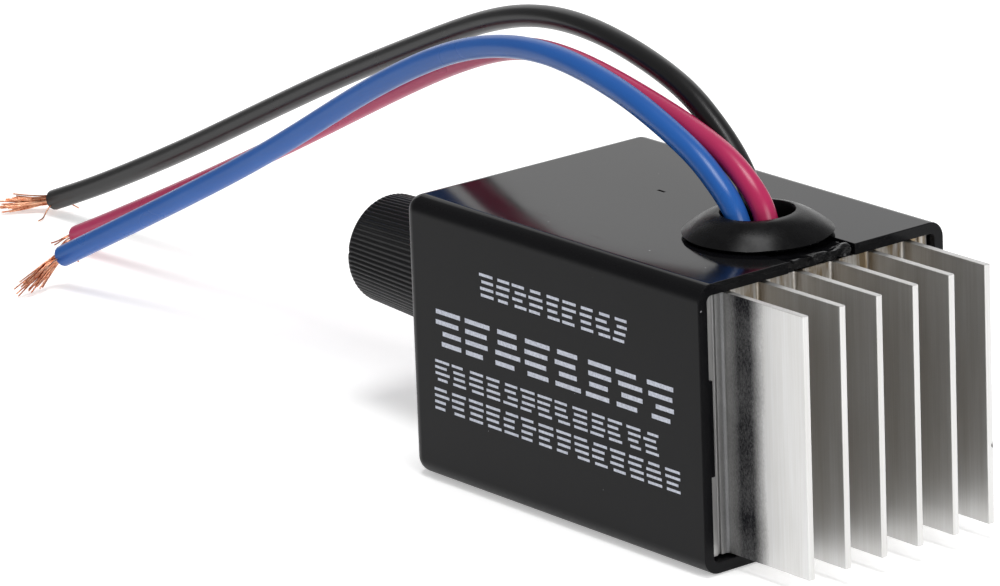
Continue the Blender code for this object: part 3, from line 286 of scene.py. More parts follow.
def clouded(tree, shader, cloud, dark, light, low_rough, high_rough):
    """Two tones and a range of roughness that follow one cloud."""
    tones = {0: add(tree, "MapRange", (cloud, *MIDDLE)), 6: linear(dark), 7: linear(light)}
    feed(tree, shader, {
        "Base Color": add(tree, "Mix", tones, data_type="RGBA"),
        "Roughness": add(tree, "MapRange", (cloud, *MIDDLE, low_rough, high_rough)),
    })


def drawn_metal(name, dark, light, low_rough, high_rough, grain_mm=0.4):
    """Metal with cloudy tarnish between two tones, as drawn, plated or turned metal has."""
    material, tree, shader, place = new_material(name, Metallic=1.0)
    cloud = grain(tree, place, grain_mm, 4.0)
    clouded(tree, shader, cloud, dark, light, low_rough, high_rough)
    return material


def mottled(name, dark, light, low_rough, high_rough, grain_mm=0.6, depth_mm=0.02):
    """Moulded, dipped or laminated part with small colour and gloss variation, finely uneven."""
    material, tree, shader, place = new_material(name, IOR=1.5)
    cloud = grain(tree, place, grain_mm, 4.0)
    clouded(tree, shader, cloud, dark, light, low_rough, high_rough)
    bump = add(tree, "Bump", {"Height": cloud, "Strength": 0.2, "Distance": depth_mm * MM})
    feed(tree, shader, {"Normal": bump})
    return material


# --- Shapes ------------------------------------------------------------------------------------


def link(name, data):
    piece = bpy.data.objects.new(name, data)
    bpy.context.scene.collection.objects.link(piece)
    return piece


def from_bmesh(name, shape):
    bmesh.ops.recalc_face_normals(shape, faces=shape.faces)
    data = bpy.data.meshes.new(name)
    shape.to_mesh(data)
    shape.free()
    return link(name, data)


def prism(name, outline, low, high):
    """Upright solid from an outline in X and Y."""
    shape = bmesh.new()
    base = shape.faces.new([shape.verts.new((x, y, low)) for x, y in outline])
    raised = bmesh.ops.extrude_face_region(shape, geom=[base])["geom"]
    moved = [g for g in raised if isinstance(g, bmesh.types.BMVert)]
    bmesh.ops.translate(shape, vec=(0.0, 0.0, high - low), verts=moved)
    return from_bmesh(name, shape)


def rounded_box(name, low, high, radius=0.0, segments=8):
    low, high = Vector(low), Vector(high)
    shape = bmesh.new()
    bmesh.ops.create_cube(shape, size=1.0)
    bmesh.ops.scale(shape, vec=high - low, verts=shape.verts)
    bmesh.ops.translate(shape, vec=(low + high) / 2, verts=shape.verts)
    if radius:
        bmesh.ops.bevel(
            shape, geom=shape.edges[:], offset=radius, segments=segments, profile=0.5,
            affect="EDGES", clamp_overlap=True,
        )
    return from_bmesh(name, shape)


def turned(name, profile, matrix, sides=96, stretch=(1.0, 1.0)):
    """Turned solid about local Z, from radius and height pairs. A hollow one closes on itself."""
    shape = bmesh.new()
    closed = profile[0][0] > 0.0
    rings = []
    for radius, height in profile:
        if radius == 0.0:
            rings.append([shape.verts.new((0.0, 0.0, height))])
            continue
        ring = []
        for step in range(sides):
            angle = 2 * math.pi * step / sides
            x, y = radius * math.cos(angle) * stretch[0], radius * math.sin(angle) * stretch[1]
            ring.append(shape.verts.new((x, y, height)))
        rings.append(ring)
    pairs = list(zip(rings, rings[1:]))
    if closed:
        pairs.append((rings[-1], rings[0]))
    for upper, lower in pairs:
        for step in range(sides):
            after = (step + 1) % sides
            corners = [upper[step % len(upper)], upper[after % len(upper)]]
            corners += [lower[after % len(lower)], lower[step % len(lower)]]
            shape.faces.new(list(dict.fromkeys(corners)))
    shape.transform(matrix)
    return from_bmesh(name, shape)


FLAT_FACE_WEIGHT = 60


def evaluated(piece, smooth_angle=None):
    """Applies the piece's modifiers and, if an angle is given, shades it with flat faces flat."""
    graph = bpy.context.evaluated_depsgraph_get()
    graph.update()
    data = bpy.data.meshes.new_from_object(piece.evaluated_get(graph))
    piece.modifiers.clear()
    piece.data = data
    if smooth_angle is not None:
        data.shade_smooth()
        data.set_sharp_from_angle(angle=math.radians(smooth_angle))
        weighted = piece.modifiers.new("Flat faces stay flat", "WEIGHTED_NORMAL")
        weighted.keep_sharp = True
        weighted.weight = FLAT_FACE_WEIGHT
        evaluated(piece)


def combine(piece, *others, operation="DIFFERENCE"):
    """Cuts the others out of the piece, or with UNION joins them in, and removes them."""
    for other in others:
        boolean = piece.modifiers.new("Combine", "BOOLEAN")
        boolean.operation = operation
        boolean.object = other
    evaluated(piece)
    for other in others:
        bpy.data.objects.remove(other)


def dress(piece, material, body="case", instead_of=()):
    piece.data.materials.clear()
    piece.data.materials.append(material)
    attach(piece, body)
    for node_name in instead_of:
        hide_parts(node_name)


def along_x(x):
    """Local Z points along -X, out of the control, with its origin on the control's axis."""
    return Matrix.Translation((x, AXIS_Y, AXIS_Z)) @ Matrix.Rotation(-math.pi / 2, 4, "Y")


# --- Leads -------------------------------------------------------------------------------------

LEAD_RADIUS = 1.5 * MM
# Millimetres, from the board to the bare end.
LEAD_ROUTES = {
    "blue": [
        (22.6, -3.0, 9.4), (22.9, -3.0, 13.0), (23.8, -3.0, 20.0), (24.8, -2.8, 28.0),
        (25.3, -2.8, 33.5), (25.2, -2.8, 36.5), (23.9, -2.8, 40.1), (21.9, -2.7, 41.9),
        (19.5, -2.5, 43.5), (16.6, -2.2, 45.3), (12.9, -1.8, 46.7), (4.6, -0.9, 49.3),
        (-1.7, -0.1, 50.5), (-10.1, 0.7, 51.7), (-18.5, 1.4, 52.2), (-27.4, 1.9, 51.0),
        (-36.0, 2.2, 48.9), (-44.7, 2.2, 45.2), (-53.3, 2.1, 40.9), (-61.9, 1.9, 36.1),
        (-70.4, 1.5, 30.8), (-81.0, 0.7, 24.7), (-89.4, -0.1, 20.2), (-101.7, -1.5, 13.7),
        (-107.8, -2.4, 10.5), (-113.9, -3.3, 7.3), (-119.5, -4.2, 4.4),
    ],
    "red": [
        (25.0, 0.0, 9.4), (25.1, 0.0, 13.0), (25.8, 0.0, 20.0), (26.6, 0.0, 28.0),
        (26.9, 0.0, 33.5), (26.9, 0.0, 36.5), (26.0, 0.1, 40.1), (24.3, 0.1, 42.0),
        (21.7, 0.4, 43.6), (18.8, 0.9, 45.1), (14.5, 1.4, 46.2), (7.4, 2.5, 47.6),
        (-0.7, 3.6, 48.6), (-12.2, 5.0, 50.1), (-24.3, 6.1, 50.6), (-33.7, 6.9, 48.4),
        (-42.9, 7.5, 44.9), (-52.3, 8.0, 40.7), (-61.7, 8.4, 36.1), (-71.1, 8.7, 31.4),
        (-80.3, 8.9, 26.8), (-92.2, 8.9, 21.0), (-101.6, 8.8, 16.4), (-115.7, 8.5, 9.8),
        (-127.4, 8.0, 4.4), (-132.8, 7.7, 2.0),
    ],
    "black": [
        (22.6, 3.05, 9.4), (22.9, 3.05, 13.0), (23.8, 3.05, 20.0), (24.3, 2.7, 28.0),
        (23.8, 1.9, 33.5), (23.1, 1.6, 36.5), (22.3, 1.8, 40.0), (19.1, 3.0, 42.2),
        (17.1, 3.8, 43.5), (13.8, 4.8, 45.3), (11.1, 5.3, 46.8), (6.7, 6.1, 49.0),
        (2.5, 6.9, 50.4), (-4.6, 7.9, 51.9), (-11.6, 8.9, 52.8), (-18.6, 9.8, 53.3),
        (-25.8, 10.7, 53.1), (-33.1, 11.6, 52.1), (-40.3, 12.3, 50.2), (-47.6, 13.1, 47.6),
        (-54.8, 13.7, 44.7), (-64.7, 14.5, 40.5), (-79.5, 15.4, 34.2), (-89.4, 15.9, 29.5),
        (-101.7, 16.3, 23.7), (-111.7, 16.5, 18.8), (-122.8, 16.6, 13.6), (-135.2, 16.5, 8.1),
        (-141.4, 16.4, 5.4), (-150.3, 16.2, 1.9),
    ],
}
STRAND_ROUTES = {
    "blue": [(-119.8, -4.25, 4.24), (-120.5, -5.2, 3.6), (-120.4, -7.2, 2.4), (-119.9, -9.6, 1.2)],
    "red": [(-133.1, 7.68, 1.9), (-133.5, 7.0, 1.4), (-133.1, 6.0, 0.9), (-132.2, 5.1, 0.7)],
    "black": [(-150.6, 16.18, 1.8), (-152.2, 15.7, 1.5), (-153.8, 14.2, 1.2), (-155.5, 12.2, 1.1)],
}
LEAD_COLOURS = {
    "blue": ("#1a529c", "#205ca8"), "red": ("#a8224f", "#b52a5c"), "black": ("#070708", "#0b0b0c"),
}
RELAX_PASSES = 60
STRAND_RADIUS = 0.11 * MM
STRANDS_IN_LEAD = {"blue": 46, "red": 12, "black": 46}
STRAYS_IN_LEAD = {"blue": 3, "red": 1, "black": 3}
# The bundle's radius inside the insulation and at its mouth, and how far a hair's end curls.
HELD_MM, MOUTH_MM, CURL_MM = 0.7, 0.75, 0.3


def smooth_route(points, steps=8):
    """Points along a smooth curve through the given ones."""
    ends = [points[0] * 2 - points[1], *points, points[-1] * 2 - points[-2]]
    route = []
    for p0, p1, p2, p3 in zip(ends, ends[1:], ends[2:], ends[3:]):
        for step in range(steps):
            t = step / steps
            route.append(
                0.5 * (2 * p1 + (p2 - p0) * t + (2 * p0 - 5 * p1 + 4 * p2 - p3) * t**2
                       + (3 * p1 - p0 - 3 * p2 + p3) * t**3)
            )
    return [*route, points[-1]]


def relaxed(points, passes):
    """The same route with its small kinks evened out and its ends kept."""
    for _ in range(passes):
        evened = [(a + b * 2 + c) / 4 for a, b, c in zip(points, points[1:], points[2:])]
        points = [points[0], *evened, points[-1]]
    return points


def tube(name, routes, radius, fineness):
    """Round bar along each route, as one curve object. A route is a list of points."""
    data = bpy.data.curves.new(name, "CURVE")
    data.dimensions = "3D"
    data.bevel_depth = radius
    data.bevel_resolution = fineness
    data.use_fill_caps = True
    for route in routes:
        spline = data.splines.new("POLY")
        spline.points.add(len(route) - 1)
        for place, point in zip(spline.points, route):
            place.co = (*point, 1.0)
        spline.use_smooth = True
    return link(name, data)


def strand_routes(name, chance):
    """Hairs that leave the cut insulation as a bundle, fan out on their route and curl a little."""
    lead = [Vector(p) * MM for p in LEAD_ROUTES[name]]
    bundle = [lead[-1], *[Vector(p) * MM for p in STRAND_ROUTES[name][1:]]]
    start, heading = lead[-1], (lead[-1] - lead[-2]).normalized()
    side = heading.cross(Vector((0.0, 0.0, 1.0))).normalized()
    upward = side.cross(heading)
    low = LEAD_RADIUS * 0.1 + STRAND_RADIUS
    hairs = []
    for _ in range(STRANDS_IN_LEAD[name]):
        angle, reach = chance.uniform(0, 2 * math.pi), math.sqrt(chance.random())
        across, up = math.cos(angle) * reach, math.sin(angle) * reach
        spread = chance.uniform(0.7, 1.5)
        length = chance.uniform(0.84, 1.1)
        curl = Vector((chance.gauss(0, 1), chance.gauss(0, 1), chance.gauss(0, 0.6))) * CURL_MM * MM
        away = side * across + upward * up
        points = [start - heading * MM + away * HELD_MM * MM]
        points.append(start + heading * 0.1 * MM + away * MOUTH_MM * MM)
        for index in range(1, len(bundle)):
            share = index / (len(bundle) - 1)
            travel = start.lerp(bundle[index], length)
            widening = MOUTH_MM + spread * share**1.3 * 0.9
            fan = (side * across * 1.5 + upward * up * 0.7) * MM * widening
            point = travel + fan + curl * share * share
            point.z = max(point.z, low)
            points.append(point)
        hairs.append(smooth_route(points, 4))
    return hairs


def stray(name, chance, count):
    """A few single hairs bent away from the bundle."""
    lead = [Vector(p) * MM for p in LEAD_ROUTES[name]]
    start, heading = lead[-1], (lead[-1] - lead[-2]).normalized()
    hairs = []
    for index in range(count):
        turn = -1.0 if index % 2 else 0.6
        side = Vector((chance.uniform(-0.3, 0.5), turn, chance.uniform(-0.5, 0.3)))
        points = [start - heading * 0.4 * MM + side * 0.6 * MM]
        for step in (1, 2, 3):
            point = points[0] + side * step * 1.35 * MM + heading * MM * (0.5 - 0.35 * step)
            point.z = max(point.z - 0.1 * step * step * MM, 0.15 * MM)
            points.append(point)
        hairs.append(smooth_route(points, 4))
    return hairs


def make_leads():
    copper = drawn_metal("bare_stranded_copper", "#c06a45", "#f3c0a0", 0.25, 0.36, 0.9)
    chance = random.Random(7)
    for name, route in LEAD_ROUTES.items():
        points = relaxed(smooth_route([Vector(p) * MM for p in route]), RELAX_PASSES)
        wire = tube(f"{name}_lead", [points], LEAD_RADIUS, 7)
        insulation = wire_pvc(f"{name}_pvc_insulation", *LEAD_COLOURS[name])
        dress(wire, insulation, "case", [f"{name}_wire"])
        hairs = strand_routes(name, chance) + stray(name, chance, STRAYS_IN_LEAD[name])
        strands = tube(f"{name}_lead_strands", hairs, STRAND_RADIUS, 1)
        dress(strands, copper, "case", [f"{name}_wire_strands"])


# --- Housing -----------------------------------------------------------------------------------

AXIS_Y, AXIS_Z = frame["joints"][0]["pos_m"][1:]
box_low, box_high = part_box("housing")
sink_low, sink_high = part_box("heat_sink")
grommet_low, grommet_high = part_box("cable_grommet")
GROMMET_X = (grommet_low.x + grommet_high.x) / 2
AXIS_MIDDLE = (box_low.z + box_high.z) / 2
SIDE_WALL = 1.5 * MM
END_WALL = 2.0 * MM
EDGE_RADIUS = 2.2 * MM
SLOT_RADIUS = 5.4 * MM
CATCH_HALF = 6.15 * MM
CATCH_DEPTH = 0.8 * MM
CATCH_START, CATCH_END_GAP = 3.3 * MM, 0.3 * MM
CAVITY_ROUNDING, CATCH_ROUNDING, MOULDED_EDGE = 0.7 * MM, 0.12 * MM, 0.12 * MM
BUSHING_HOLE_RADIUS, BUSHING_HOLE_DEPTH = 4.8 * MM, 4 * MM
# How far a cutter reaches past the face it cuts.
PAST = 1.0 * MM


def arc(radius, start, end, steps, centre=(0.0, 0.0)):
    angles = [math.radians(start + (end - start) * step / steps) for step in range(steps + 1)]
    return [(centre[0] + radius * math.cos(a), centre[1] + radius * math.sin(a)) for a in angles]


def make_housing():
    past_end = box_high.x + 2 * EDGE_RADIUS
    outer_corner = (past_end, box_high.y, box_high.z)
    housing = rounded_box("housing_shell", box_low, outer_corner, EDGE_RADIUS, 8)
    inner = box_high.y - SIDE_WALL
    trim = rounded_box(
        "trim",
        (box_high.x, box_low.y - PAST, -PAST),
        (past_end + PAST, box_high.y + PAST, box_high.z + PAST),
    )
    cavity = rounded_box(
        "cavity",
        (box_low.x + END_WALL, -inner, SIDE_WALL),
        (past_end, inner, box_high.z - SIDE_WALL),
        CAVITY_ROUNDING,
        4,
    )
    combine(housing, trim, cavity)
    catches = []
    for side in (-1, 1):
        wall, edge = side * (inner + 0.5 * MM), side * (inner - CATCH_DEPTH)
        catches.append(
            rounded_box(
                "catch",
                (sink_low.x + CATCH_START, min(wall, edge), AXIS_MIDDLE - CATCH_HALF),
                (box_high.x - CATCH_END_GAP, max(wall, edge), AXIS_MIDDLE + CATCH_HALF),
                CATCH_ROUNDING,
                2,
            )
        )
    combine(housing, *catches, operation="UNION")
    reach = box_high.x - GROMMET_X + PAST
    outline = [(GROMMET_X + x, y) for x, y in arc(SLOT_RADIUS, 90, 270, 40)]
    outline += [(GROMMET_X + reach, -SLOT_RADIUS), (GROMMET_X + reach, SLOT_RADIUS)]
    slot = prism("slot", outline, box_high.z - SIDE_WALL - PAST, box_high.z + PAST)
    radius, depth = BUSHING_HOLE_RADIUS, BUSHING_HOLE_DEPTH
    inwards = Matrix.Translation((box_low.x, AXIS_Y, AXIS_Z)) @ Matrix.Rotation(math.pi / 2, 4, "Y")
    sides = [(0.0, depth), (radius, depth), (radius, -PAST), (0.0, -PAST)]
    hole = turned("hole", sides, inwards, 64)
    # Short witness mark of the moulding gate.
    gate_low = (1.2 * MM, 3.5 * MM, box_high.z - 0.25 * MM)
    gate = rounded_box("gate", gate_low, (2.4 * MM, 3.85 * MM, box_high.z + PAST))
    combine(housing, slot, hole, gate)
    rounder = housing.modifiers.new("Moulded edges", "BEVEL")
    rounder.width = MOULDED_EDGE
    rounder.segments = 2
    rounder.limit_method = "ANGLE"
    rounder.angle_limit = math.radians(50)
    evaluated(housing)
    evaluated(housing, 40)
    dress(housing, moulded_abs(), "case", ["housing"])


# Printed rows on the front wall: (start x, end x, bottom z, top z, cells), in millimetres.
PRINTED_ROWS = [
    (-6.1, 23.1, 26.7, 30.0, 9),
    (-15.5, 31.8, 18.2, 23.4, 8),
    (-15.8, 28.5, 13.5, 16.5, 13),
    (-16.1, 32.4, 9.6, 12.7, 14),
]
# Dashes above one another in a cell, and their places and sizes as shares of the cell.
LEVELS = 4
CELL_MARGIN, DASH_WIDTH, DASH_INSET = 0.08, 0.84, 0.32
LEVEL_FOOT, LEVEL_STEP, DASH_HEIGHT = 0.03, 0.27, 0.115


def make_print():
    """Plain dashes in four rows, screen printed. They stand for no letters or signs."""
    shape = bmesh.new()
    chance = random.Random(3)
    front = box_low.y - 0.012 * MM
    for start, end, bottom, top, cells in PRINTED_ROWS:
        pitch = (end - start) / cells
        tall = top - bottom
        for cell in range(cells):
            left = start + pitch * (cell + CELL_MARGIN)
            width = pitch * DASH_WIDTH
            for level in range(LEVELS):
                inset = chance.uniform(0.0, DASH_INSET) * width
                shift = chance.choice((0.0, 0.5, 1.0)) * inset
                low = bottom + tall * (LEVEL_FOOT + LEVEL_STEP * level)
                high, begin = low + tall * DASH_HEIGHT, left + shift
                finish = left + shift + width - inset
                corners = [(begin, low), (finish, low), (finish, high), (begin, high)]
                shape.faces.new([shape.verts.new((x * MM, front, z * MM)) for x, z in corners])
    extruded = bmesh.ops.extrude_face_region(shape, geom=shape.faces[:])["geom"]
    moved = [g for g in extruded if isinstance(g, bmesh.types.BMVert)]
    bmesh.ops.translate(shape, vec=(0.0, 0.022 * MM, 0.0), verts=moved)
    marks = from_bmesh("printed_rows", shape)
    ink = mottled("screen_print_ink", "#a9adba", "#cfd3df", 0.5, 0.65, 0.3, 0.01)
    dress(marks, ink)


# --- Heat sink ---------------------------------------------------------------------------------

FIN_COUNT = 6
FIN_PITCH = 5.9 * MM
FIN_THICKNESS = 0.94 * MM
BASE_THICKNESS = 3.0 * MM
ROOT_FILLET = 0.45 * MM
TIP_ROUNDING = 0.16 * MM
GROOVE_INSET, GROOVE_WIDTH, GROOVE_DEPTH = 1.3 * MM, 0.5 * MM, 0.4 * MM


def make_heat_sink():
    """Extrusion along Z with filleted roots, soft tips, two grooves and sawn, burred ends."""
    face = sink_low.x + BASE_THICKNESS
    tip = sink_high.x
    groove = sink_high.y - GROOVE_INSET
    inner, sunk = groove - GROOVE_WIDTH, face - GROOVE_DEPTH
    outline = [(sink_low.x, sink_high.y), (sink_low.x, sink_low.y), (face, sink_low.y)]
    outline += [(face, -groove), (sunk, -groove), (sunk, -inner), (face, -inner)]
    for index in range(FIN_COUNT):
        centre = (index - (FIN_COUNT - 1) / 2) * FIN_PITCH
        low, high = centre - FIN_THICKNESS / 2, centre + FIN_THICKNESS / 2
        outline += arc(ROOT_FILLET, 180, 90, 5, (face + ROOT_FILLET, low - ROOT_FILLET))
        outline += arc(TIP_ROUNDING, -90, 0, 4, (tip - TIP_ROUNDING, low + TIP_ROUNDING))
        outline += arc(TIP_ROUNDING, 0, 90, 4, (tip - TIP_ROUNDING, high - TIP_ROUNDING))
        outline += arc(ROOT_FILLET, 270, 180, 5, (face + ROOT_FILLET, high + ROOT_FILLET))
    outline += [(face, inner), (sunk, inner), (sunk, groove), (face, groove), (face, sink_high.y)]
    sink = prism("finned_heat_sink", outline, sink_low.z, sink_high.z)
    edges = sink.modifiers.new("Broken edges", "BEVEL")
    edges.width = 0.09 * MM
    edges.segments = 2
    edges.limit_method = "ANGLE"
    edges.angle_limit = math.radians(60)
    evaluated(sink)
    evaluated(sink, 35)
    dress(sink, extruded_aluminium(), "case", ["heat_sink"])


# --- Grommet and sealant -----------------------------------------------------------------------


def make_grommet():
    """Domed flange, neck and lip round an oval hole, with a slightly uneven moulded edge."""
    top = box_high.z
    dome = grommet_high.z - top
    flange = (grommet_high.x - grommet_low.x) / 2
    crown, rim = 5.05 * MM, 0.5 * MM
    profile = [(0.0, dome), (crown * 0.95, dome)]
    for step in range(15):
        share = step / 14
        profile.append((crown + (flange - crown) * share, rim + (dome - rim) * (1.0 - share**1.55)))
    neck, lip, lip_end = 5.1 * MM, 6.9 * MM, 6.6 * MM
    underside, under_wall, bottom = 0.05 * MM, -1.8 * MM, -3.3 * MM
    profile += [(flange - 0.12 * MM, 0.32 * MM), (flange - 0.7 * MM, underside), (neck, underside)]
    profile += [(neck, under_wall), (lip, under_wall), (lip_end, bottom), (0.0, bottom)]
    place = Matrix.Translation((GROMMET_X, 0.0, top))
    grommet = turned("rubber_grommet", profile, place, 144)
    waist = 4.7 * MM
    throat = [(0.0, dome + PAST), (waist * 1.09, dome + PAST), (waist * 1.08, dome + 0.1 * MM)]
    throat += [(waist * 1.04, dome - 0.15 * MM), (waist * 1.01, dome - 0.5 * MM)]
    throat += [(waist, dome - 1.2 * MM), (waist, -4.5 * MM), (0.0, -4.5 * MM)]
    combine(grommet, turned("throat", throat, place, 96, (0.894, 1.0)))
    steady, uneven, lump = 7.0 * MM, 0.10 * MM, 3.0 * MM
    for vertex in grommet.data.vertices:
        offset = vertex.co - Vector((GROMMET_X, 0.0, top))
        reach = math.hypot(offset.x, offset.y)
        if reach > steady and offset.z > 0.2 * MM:
            wobble = noise.noise(vertex.co / lump) * uneven
            share = (reach - steady) / (flange - steady)
            vertex.co.z += wobble * share
            vertex.co.x -= offset.x / reach * abs(wobble) * share
            vertex.co.y -= offset.y / reach * abs(wobble) * share
    evaluated(grommet, 50)
    dress(grommet, moulded_rubber(), "case", ["cable_grommet"])


def make_sealant():
    """Lumpy bead, smeared by hand into the slot."""
    low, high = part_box("slot_sealant")
    shape = bmesh.new()
    bmesh.ops.create_cube(shape, size=1.0)
    bmesh.ops.scale(shape, vec=high - low, verts=shape.verts)
    bmesh.ops.translate(shape, vec=(low + high) / 2, verts=shape.verts)
    bmesh.ops.subdivide_edges(shape, edges=shape.edges[:], cuts=24, use_grid_fill=True)
    middle = (low + high) / 2
    for vertex in shape.verts:
        coarse, fine = noise.noise(vertex.co / (1.5 * MM)), noise.noise(vertex.co / (0.7 * MM))
        lump = coarse * 0.55 + fine * 0.2
        if vertex.co.z > middle.z:
            vertex.co.z -= (0.42 + lump) * 0.55 * MM
        edge = min(vertex.co.x - low.x, high.x - vertex.co.x)
        if edge < 0.05 * MM and vertex.co.x > middle.x:
            vertex.co.x -= (0.35 + lump) * 0.9 * MM
    bead = from_bmesh("sealant_bead", shape)
    evaluated(bead, 60)
    dress(bead, cured_sealant(), "case", ["slot_sealant"])


# --- Control -----------------------------------------------------------------------------------

KNOB_RIBS = 72
RIB_POINTS = 6
RIB_DEPTH = 0.17 * MM
SHAFT_BORE = 3.3 * MM
POINTER_DEGREES = 172


def make_knob():
    """Tapered cap with fine rounded ribs and a pointer groove, hollow round its hub."""
    low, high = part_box("control_knob")
    base_x, tip_x = high.x, low.x
    base_radius, tip_radius, rim = 8.3 * MM, 7.35 * MM, 0.9 * MM
    length = base_x - tip_x
    # Radius, height, and how deep the ribs are there.
    sections = [(base_radius - 0.15 * MM, 0.0, 0.0), (base_radius, 0.15 * MM, 0.6)]
    sections += [(base_radius, 0.5 * MM, 1.0), (tip_radius, length - rim - 0.5 * MM, 1.0)]
    for step in range(9):
        angle = math.radians(11.25 * step)
        radius = tip_radius - rim + rim * math.cos(angle)
        height = length - rim + rim * math.sin(angle)
        sections.append((radius, height, max(0.0, 0.8 - step * 0.2)))
    sections.append((tip_radius - rim - 0.35 * MM, length, 0.0))
    shape = bmesh.new()
    count = KNOB_RIBS * RIB_POINTS
    rings = []
    for radius, height, ribbed in sections:
        ring = []
        for index in range(count):
            angle = 2 * math.pi * index / count
            valley = (0.5 - 0.5 * math.cos(2 * math.pi * index / RIB_POINTS)) ** 1.6
            reach = radius - RIB_DEPTH * ribbed * valley
            ring.append(shape.verts.new((reach * math.cos(angle), reach * math.sin(angle), height)))
        rings.append(ring)
    for upper, lower in zip(rings, rings[1:]):
        for index in range(count):
            after = (index + 1) % count
            shape.faces.new((upper[index], upper[after], lower[after], lower[index]))
    shape.faces.new(rings[0])
    shape.faces.new(rings[-1])
    shape.transform(along_x(base_x))
    knob = from_bmesh("ribbed_knob", shape)
    hub, hollow, deep = 4.9 * MM, 7.0 * MM, 14 * MM
    ring = [(hub, -PAST), (hollow, -PAST), (hollow, 0.0), (hollow - 0.63 * MM, deep), (hub, deep)]
    stop = length - 2.2 * MM
    bore = [(0.0, -PAST), (SHAFT_BORE, -PAST), (SHAFT_BORE, stop), (0.0, stop)]
    groove_low, groove_high = (2.6 * MM, -0.45 * MM, -0.6 * MM), (9.0 * MM, 0.45 * MM, 3.0 * MM)
    groove = rounded_box("groove", groove_low, groove_high, 0.15 * MM, 3)
    # The pointer's place is counted round from +Y, seen along the control's axis.
    angle = math.radians(POINTER_DEGREES)
    outwards = Vector((0.0, math.cos(angle), math.sin(angle)))
    towards = Vector((-1.0, 0.0, 0.0))
    turn = Matrix((outwards, towards.cross(outwards), towards)).transposed().to_4x4()
    groove.data.transform(Matrix.Translation((tip_x, AXIS_Y, AXIS_Z)) @ turn)
    hollow_cutter = turned("hollow", ring, along_x(base_x), 64)
    combine(knob, hollow_cutter, turned("bore", bore, along_x(base_x), 48), groove)
    evaluated(knob, 48)
    dress(knob, knob_plastic(), "knob", ["control_knob"])


def make_bushing():
    """Turned brass bushing with its thread cut in rings, and the plate behind it."""
    low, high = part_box("potentiometer_bushing")
    thread, plate, plate_depth = 4.5 * MM, (high.y - low.y) / 2, 1.0 * MM
    pitch, thread_depth = 0.75 * MM, 0.32 * MM
    length = high.x - low.x
    profile = [(SHAFT_BORE, 0.0), (plate, 0.0), (plate, plate_depth)]
    profile += [(thread - 0.25 * MM, plate_depth)]
    height = 1.4 * MM
    while height < length - pitch:
        profile += [(thread, height), (thread - thread_depth, height + pitch / 2)]
        height += pitch
    profile += [(thread - 0.3 * MM, length), (SHAFT_BORE, length)]
    bushing = turned("threaded_bushing", profile, along_x(high.x), 64)
    evaluated(bushing, 30)
    brass = drawn_metal("turned_brass", "#a8905a", "#d8c48c", 0.25, 0.4)
    dress(bushing, brass, "case", ["potentiometer_bushing"])


def make_nut():
    """Hex nut with its corners turned off."""
    low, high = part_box("potentiometer_nut")
    thick = high.x - low.x
    across = (high.y - low.y) / 2
    reach = (high.z - low.z) / 2
    corner = max(across, reach)
    shape = bmesh.new()
    bmesh.ops.create_cone(
        shape, cap_ends=True, segments=6, radius1=corner, radius2=corner, depth=thick
    )
    start = 0.0 if across >= reach else math.pi / 2
    turn = Matrix.Rotation(start, 3, "Z")
    bmesh.ops.rotate(shape, cent=(0, 0, 0), matrix=turn, verts=shape.verts)
    bmesh.ops.translate(shape, vec=(0, 0, thick / 2), verts=shape.verts)
    shape.transform(along_x(high.x) @ Matrix.Rotation(math.pi / 2, 4, "Z"))
    nut = from_bmesh("hex_nut", shape)
    side = min(across, reach)
    # What is left of the dish round the crown is what the turning takes off the corners.
    margin, chamfer, wide = 0.1 * MM, 0.45 * MM, corner + 0.05 * MM
    dish = [(0.0, -margin), (corner + PAST, -margin)]
    dish += [(corner + PAST, thick + margin), (0.0, thick + margin)]
    crown = [(0.0, 0.0), (side, 0.0), (wide, chamfer), (wide, thick - chamfer)]
    crown += [(side, thick), (0.0, thick)]
    shell = turned("shell", dish, along_x(high.x), 96)
    combine(shell, turned("crown", crown, along_x(high.x), 96))
    radius = BUSHING_HOLE_RADIUS
    sides = [(0.0, -PAST), (radius, -PAST), (radius, thick + PAST), (0.0, thick + PAST)]
    combine(nut, shell, turned("nut_bore", sides, along_x(high.x), 64))
    evaluated(nut, 30)
    dress(nut, PLATED, "case", ["potentiometer_nut"])


# --- Pieces kept from the solid model ----------------------------------------------------------

PLATED = drawn_metal("zinc_plated_steel", "#9d9fa2", "#cfd1d4", 0.25, 0.38)


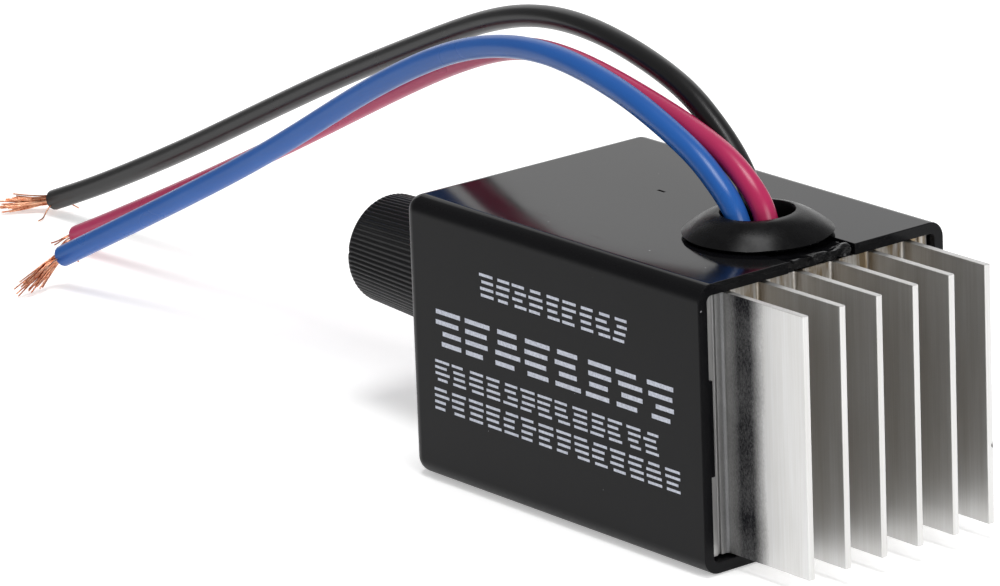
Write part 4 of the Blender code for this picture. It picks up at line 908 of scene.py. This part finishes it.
def dress_inner_pieces():
    """Real finishes for the pieces that keep their shape."""
    epoxy = mottled("moulded_black_epoxy", "#19191b", "#28282b", 0.45, 0.6, 0.3)
    sleeve = mottled("dark_blue_shrink_sleeve", "#0f1838", "#18244c", 0.2, 0.3, 1.5)
    lacquer = mottled("beige_resistor_lacquer", "#b99d6c", "#d2b888", 0.3, 0.45)
    glass = mottled("orange_diode_glass", "#8f3c14", "#c0602a", 0.08, 0.15)
    silicone = mottled("grey_silicone_sheet", "#858a92", "#9aa0a8", 0.6, 0.75)
    laminate = mottled("brown_phenolic_laminate", "#4a2a14", "#63391d", 0.45, 0.6)
    finishes = {
        "circuit_board": mottled("green_solder_mask", "#0d4a22", "#14602e", 0.2, 0.32, 0.8),
        "timer_chip": epoxy,
        "voltage_regulator": epoxy,
        "power_mosfet": epoxy,
        "flyback_diode": epoxy,
        "bulk_capacitor": sleeve,
        "supply_capacitor": sleeve,
        "film_capacitor": mottled("brown_dipped_coating", "#6e2412", "#8c3520", 0.15, 0.3, 1.2),
        "resistor_1": lacquer,
        "resistor_2": lacquer,
        "resistor_3": lacquer,
        "resistor_4": lacquer,
        "signal_diode_1": glass,
        "signal_diode_2": glass,
        "mosfet_thermal_pad": silicone,
        "diode_thermal_pad": silicone,
        "mosfet_screw": PLATED,
        "diode_screw": PLATED,
        "potentiometer_washer": PLATED,
        "potentiometer_case": PLATED,
        "potentiometer_terminal_left": PLATED,
        "potentiometer_terminal_centre": PLATED,
        "potentiometer_terminal_right": PLATED,
        "potentiometer_shaft": drawn_metal("turned_aluminium", "#a8aaad", "#d5d7da", 0.25, 0.36),
        "potentiometer_rotor": mottled("moulded_rotor_plastic", "#242426", "#323234", 0.4, 0.55),
        "wiper_contact": drawn_metal("stamped_phosphor_bronze", "#a87440", "#d8a468", 0.22, 0.34),
        "resistance_track_board": laminate,
    }
    for name, material in finishes.items():
        data = frame["nodes"][name].data
        data.materials.clear()
        data.materials.append(material)


# --- Studio ------------------------------------------------------------------------------------


# Name, place, aim, size and watts. The first stands overhead, the second on the side of the fins,
# and the third lights the back.
LIGHTS = [
    ("overhead_softbox", (0.05, -0.05, 0.9), (0.0, 0.0, 0.0), (0.36, 0.36), 4.2),
    ("fin_side_softbox", (0.9, -0.1, 0.45), (0.03, 0.0, 0.02), (0.6, 0.5), 4.5),
    ("rear_card", (-0.95, 0.75, 0.45), (0.0, 0.0, 0.03), (1.3, 0.9), 3.0),
]
SKY_STRENGTH = 0.3
# The floor's own glow keeps the shadows as soft as a light tent's.
FLOOR_GLOW = 0.4
FLOOR_SIZE, FLOOR_DROP = 6.0, 0.0002


def area_light(name, place, aim, size, watts):
    data = bpy.data.lights.new(name, "AREA")
    data.shape = "RECTANGLE"
    data.size, data.size_y = size
    data.energy = watts
    light = link(name, data)
    turn = (Vector(aim) - Vector(place)).to_track_quat("-Z", "Y").to_matrix().to_4x4()
    light.matrix_world = Matrix.Translation(place) @ turn


def make_studio():
    """Plain pale floor under a pale sky, with three area lights."""
    shape = bmesh.new()
    bmesh.ops.create_grid(shape, x_segments=1, y_segments=1, size=FLOOR_SIZE)
    floor = from_bmesh("studio_floor", shape)
    floor.location.z = -FLOOR_DROP
    paper = new_material(
        "matt_white_paper", Base_Color=linear("#fafafa"), Roughness=0.9,
        Emission_Color=linear("#ffffff"), Emission_Strength=FLOOR_GLOW,
    )[0]
    floor.data.materials.append(paper)
    world = bpy.data.worlds.new("pale_sky")
    world.use_nodes = True
    sky = world.node_tree.nodes["Background"]
    sky.inputs["Color"].default_value = (1.0, 1.0, 1.0, 1.0)
    sky.inputs["Strength"].default_value = SKY_STRENGTH
    bpy.context.scene.world = world
    for light in LIGHTS:
        area_light(*light)
    bpy.context.scene.view_settings.view_transform = "Standard"


make_camera()
make_leads()
make_housing()
make_print()
make_heat_sink()
make_grommet()
make_sealant()
make_knob()
make_bushing()
make_nut()
dress_inner_pieces()
make_studio()
